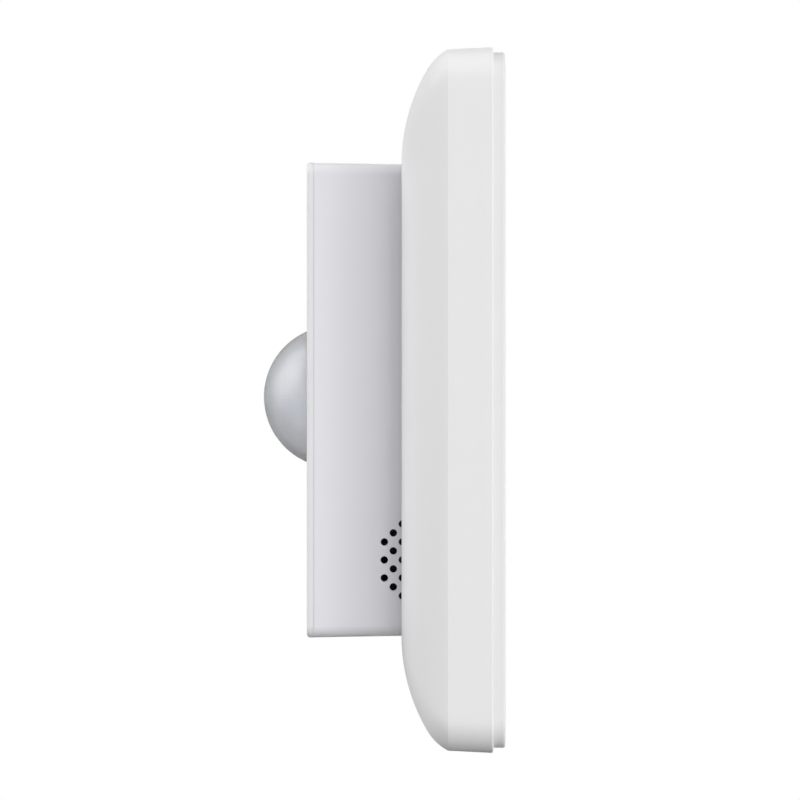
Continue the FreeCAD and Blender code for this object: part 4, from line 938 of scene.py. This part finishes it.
@dataclass(frozen=True)
class WallFrame:
    """Square frame with a pillow-shaped front, hollow behind, with a skirt round its opening."""

    wall: float = 1.7 * MM
    corner: float = 3.6 * MM
    side_lean: float = 0.25 * MM
    crease_drop: float = 5.34 * MM
    crown: float = 20.6 * MM
    shoulder: float = 5.9 * MM
    crown_angle: float = math.radians(31.3)
    opening: float = 27.7 * MM
    opening_corner: float = 1.6 * MM
    corner_blend: float = 4 * MM
    skirt: float = 1.5 * MM
    skirt_low: float = 5.0 * MM
    edge_round: float = 0.2 * MM
    steps: int = 44
    slope_step: float = 0.01
    edge_stations: tuple[float, ...] = (0.03, 0.5, 0.9)

    def crown_point(self, angle: float, inset: float = 0.0) -> tuple[float, float]:
        """Return the reach outwards and the drop at this slope of the front.

        Args:
            angle: Slope of the surface there.
            inset: How far inside the outer surface.

        Returns:
            Reach from the crown's flat middle, and drop below its front plane.
        """
        first, second = self.crown - inset, self.shoulder - inset
        if angle <= self.crown_angle:
            return first * math.sin(angle), inset + first * (1 - math.cos(angle))
        gap = self.crown - self.shoulder
        reach = gap * math.sin(self.crown_angle) + second * math.sin(angle)
        drop = self.crown - gap * math.cos(self.crown_angle) - second * math.cos(angle)
        return reach, drop

    def profile(self, half: float, front: float, back: float) -> list[tuple[float, float, float]]:
        """Return the frame's section.

        Args:
            half: Half the frame's width at its back edge.
            front: Height of its front plane off the wall.
            back: Height of its back edge off the wall.

        Returns:
            Half width, corner radius and height of each ring, out from the opening and back inside.
        """
        gap = self.crown - self.shoulder
        cosine = (self.crown - gap * math.cos(self.crown_angle) - self.crease_drop) / self.shoulder
        crease = math.acos(cosine)
        crease_half = half - self.side_lean
        flat = crease_half - self.crown_point(crease)[0]
        rings = []
        start = math.asin((self.opening + self.edge_round - flat) / self.crown)
        soft = self.edge_round
        rings.append((self.opening, self.opening_corner, front - soft * 1.1))
        rings.append((self.opening + 0.3 * soft, self.opening_corner, front - 0.3 * soft))
        for step in range(self.steps + 1):
            angle = start + (crease - start) * step / self.steps
            reach, drop = self.crown_point(angle)
            rise = min(1.0, (flat + reach - self.opening) / self.corner_blend)
            corner = self.opening_corner + (self.corner - self.opening_corner) * rise
            rings.append((flat + reach, corner, front - drop))
        crease_height = front - self.crease_drop
        for share in self.edge_stations:
            lean = crease_half + self.side_lean * share
            rings.append((lean, self.corner, crease_height + (back - crease_height) * share))
        rings.append((half, self.corner, back + soft))
        rings.append((half - 0.3 * soft, self.corner, back + 0.3 * soft))
        rings.append((half - soft, self.corner, back))
        inner_corner = self.corner - self.wall
        inner_half = half - self.wall
        rings.append((inner_half, inner_corner, back))
        inner_stop = crease_half - self.wall
        inner_angle = crease
        inner_steps = self.steps // 3
        while inner_angle > 0 and flat + self.crown_point(inner_angle, self.wall)[0] > inner_stop:
            inner_angle -= self.slope_step
        skirt_half = self.opening + self.skirt
        stop = math.asin((skirt_half - flat) / (self.crown - self.wall))
        for step in range(inner_steps + 1):
            angle = inner_angle + (stop - inner_angle) * step / inner_steps
            reach, drop = self.crown_point(angle, self.wall)
            rings.append((flat + reach, inner_corner, front - drop))
        rings.append((skirt_half, inner_corner, self.skirt_low))
        rings.append((self.opening, self.opening_corner, self.skirt_low))
        return rings

    def build(self) -> None:
        """Build the frame in place of its CAD node."""
        low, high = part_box("design_frame")
        rings = []
        for half, corner, height in self.profile(high.x, -low.y, -high.y):
            rings.append([(x, -height, z) for x, z in rounded_square(half, corner)])
        piece = loft("wall_frame", rings)
        sharpen(piece, 24)
        settle(piece, Body.WALL, "frame_plastic", "design_frame")


# ---------------------------------------------------------------- movement sensor lens


@dataclass(frozen=True)
class MovementLens:
    """Thin domed lens on a flat flange."""

    radius: float = LENS_RADIUS
    wall: float = 0.7 * MM
    flange: float = 0.8 * MM
    flange_round: float = 0.12 * MM
    around: int = 144
    rows: int = 44

    def section(self, tip: float, back: float, flange_radius: float) -> list[tuple[float, float]]:
        """Return the section from the outer pole to the inner one.

        Args:
            tip: Height of the dome's tip off the wall.
            back: Height of the flange's back off the wall.
            flange_radius: The flange's outer radius.

        Returns:
            Radius and height of each ring.
        """
        centre = tip - self.radius
        shelf = back + self.flange
        inner = self.radius - self.wall
        outer_stop = math.acos((shelf - centre) / self.radius)
        inner_stop = math.acos((back - centre) / inner)
        soft = self.flange_round
        points = []
        for row in range(self.rows + 1):
            angle = outer_stop * row / self.rows
            points.append((self.radius * math.sin(angle), centre + self.radius * math.cos(angle)))
        points += [
            (flange_radius - soft, shelf), (flange_radius, shelf - soft),
            (flange_radius, back + soft), (flange_radius - soft, back),
        ]
        for row in range(self.rows, -1, -1):
            angle = inner_stop * row / self.rows
            points.append((inner * math.sin(angle), centre + inner * math.cos(angle)))
        return points

    def build(self) -> None:
        """Build the lens in place of its CAD node."""
        low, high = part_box("pir_lens")
        middle = (low.z + high.z) / 2
        section = self.section(-low.y, -high.y, high.x)
        points: list[Point] = []
        for radius, height in section:
            for step in range(self.around):
                angle = math.tau * step / self.around
                points.append((radius * math.cos(angle), -height, middle + radius * math.sin(angle)))
        faces = []
        for row in range(len(section) - 1):
            for step in range(self.around):
                beside = (step + 1) % self.around
                here, there = row * self.around, (row + 1) * self.around
                faces.append((here + step, here + beside, there + beside, there + step))
        piece = new_piece("movement_lens", points, faces)
        sharpen(piece, 35)
        settle(piece, Body.HEAD, "milky_lens", "pir_lens")


# ---------------------------------------------------------------- carried-over nodes


def dress_nodes() -> None:
    """Give every shown CAD node the finish of its material slot."""
    slots = {part["node"]: part["material_slot"] for part in frame["record"]["subparts"]}
    for name, node in frame["nodes"].items():
        material = FINISHES[slots[name]].material()
        if not node.material_slots:
            node.data.materials.append(material)
        for place in node.material_slots:
            place.material = material
        if not node.hide_render:
            log.info("%s: carried over, %s", name, slots[name])


# ---------------------------------------------------------------- studio


@dataclass(frozen=True)
class Softbox:
    """A soft lamp that points at the object, of this brightness per area."""

    name: str
    direction: Point
    distance: float
    size: tuple[float, float]
    brightness: float
    outline: Outline = Outline.SQUARE

    def build(self, aim: Vector) -> None:
        """Hang the lamp.

        Args:
            aim: The point that it faces.
        """
        lamp = bpy.data.lights.new(self.name, "AREA")
        lamp.shape = self.outline.value
        lamp.size, lamp.size_y = self.size
        lamp.energy = self.brightness * math.pi * self.size[0] * self.size[1]
        holder = bpy.data.objects.new(self.name, lamp)
        way = Vector(self.direction).normalized()
        holder.location = aim + way * self.distance
        holder.rotation_euler = way.to_track_quat("Z", "Y").to_euler()
        bpy.context.scene.collection.objects.link(holder)


@dataclass(frozen=True)
class Studio:
    """White surround, pale floor, soft lamps and the camera."""

    distance: float = 1.189
    focal: float = 451.9
    sensor: float = 36.0
    clip: tuple[float, float] = (0.01, 20.0)
    sideways: float = 2.02 * MM
    floor_drop: float = 0.5
    floor_half: float = 0.22
    floor_thick: float = 4 * MM
    level: float = 0.46
    low_level: float = 0.03
    mirrored_level: float = 0.45
    horizon: tuple[float, float] = (-0.3, 0.25)
    softboxes: tuple[Softbox, ...] = (
        Softbox("front_softbox", (-0.03, -0.90, 0.42), 1.0, (0.95, 1.1), 2.25, Outline.OVAL),
        Softbox("right_softbox", (0.82, 0.57, 0.12), 1.25, (0.8, 1.2), 3.15),
        Softbox("right_rear_softbox", (0.6, 0.8, 0.12), 1.25, (0.6, 1.2), 1.75),
        Softbox("right_front_softbox", (0.85, -0.5, 0.15), 1.25, (0.8, 1.2), 0.98),
        Softbox("left_softbox", (-0.9, 0.25, 0.12), 1.25, (0.8, 1.2), 2.6),
    )

    def surround(self) -> None:
        """Build the white surround, which lights the object more from above than from below."""
        world = bpy.data.worlds.new("surround")
        world.use_nodes = True
        graph = Graph(world.node_tree)
        _, _, up = graph.split(graph.node("ShaderNodeTexCoord", None, None, "Generated"))
        lit = self.low_level + up.step(*self.horizon) * (self.level - self.low_level)
        paths = graph.node("ShaderNodeLightPath").socket.node
        straight, mirrored, through = (
            Level(graph, paths.outputs[f"Is {kind} Ray"]) for kind in ("Camera", "Glossy", "Transmission")
        )
        level = lit + mirrored * (self.mirrored_level - lit)
        soft = graph.node("ShaderNodeBackground", None, {"Strength": level})
        plain = graph.node("ShaderNodeBackground", None, {"Color": (1.0, 1.0, 1.0, 1.0), "Strength": 1.0})
        seen = straight.maths("MAXIMUM", through)
        shown = graph.node("ShaderNodeMixShader", None, {0: seen, 1: soft, 2: plain})
        graph.node("ShaderNodeOutputWorld", None, {"Surface": shown})
        bpy.context.scene.world = world

    def floor(self, low: float) -> None:
        """Build the pale floor below the object.

        Args:
            low: Height of the object's lowest point.
        """
        height, half = low - self.floor_drop, self.floor_half
        corners = [(-half, -half), (half, -half), (half, half), (-half, half)]
        points = [(x, y, z) for z in (height - self.floor_thick, height) for x, y in corners]
        faces = [(0, 3, 2, 1), (4, 5, 6, 7)]
        faces += [(i, (i + 1) % 4, 4 + (i + 1) % 4, 4 + i) for i in range(4)]
        piece = new_piece("floor", points, faces)
        sharpen(piece, 30)
        piece.data.materials.append(Moulded("floor_paint", (0.72, 0.72, 0.72), 0.8, grain=2 * MM).material())

    def camera(self, centre: Vector) -> None:
        """Set the camera level with the object, square to its side.

        Args:
            centre: The middle of the object.
        """
        lens = bpy.data.cameras.new("camera")
        lens.sensor_width = self.sensor
        lens.lens = self.focal
        lens.clip_start, lens.clip_end = self.clip
        holder = bpy.data.objects.new("camera", lens)
        holder.location = (self.distance, centre.y + self.sideways, centre.z)
        holder.rotation_euler = (math.pi / 2, 0.0, math.pi / 2)
        bpy.context.scene.collection.objects.link(holder)
        bpy.context.scene.camera = holder

    def build(self) -> None:
        """Build the whole studio round the object."""
        low, high = CAD_BOX
        centre = (low + high) / 2
        self.surround()
        self.floor(low.z)
        self.camera(centre)
        for softbox in self.softboxes:
            softbox.build(centre)
        bpy.context.scene.view_settings.view_transform = "Standard"
        log.info("studio: %d softboxes", len(self.softboxes))


def main() -> None:
    """Build every sub-assembly in order."""
    logging.basicConfig(level=logging.INFO, format="%(message)s")
    WallFrame().build()
    MovementLens().build()
    SoundCloth().build()
    ChipParts().build()
    dress_nodes()
    Studio().build()


if __name__ == "__main__":
    main()
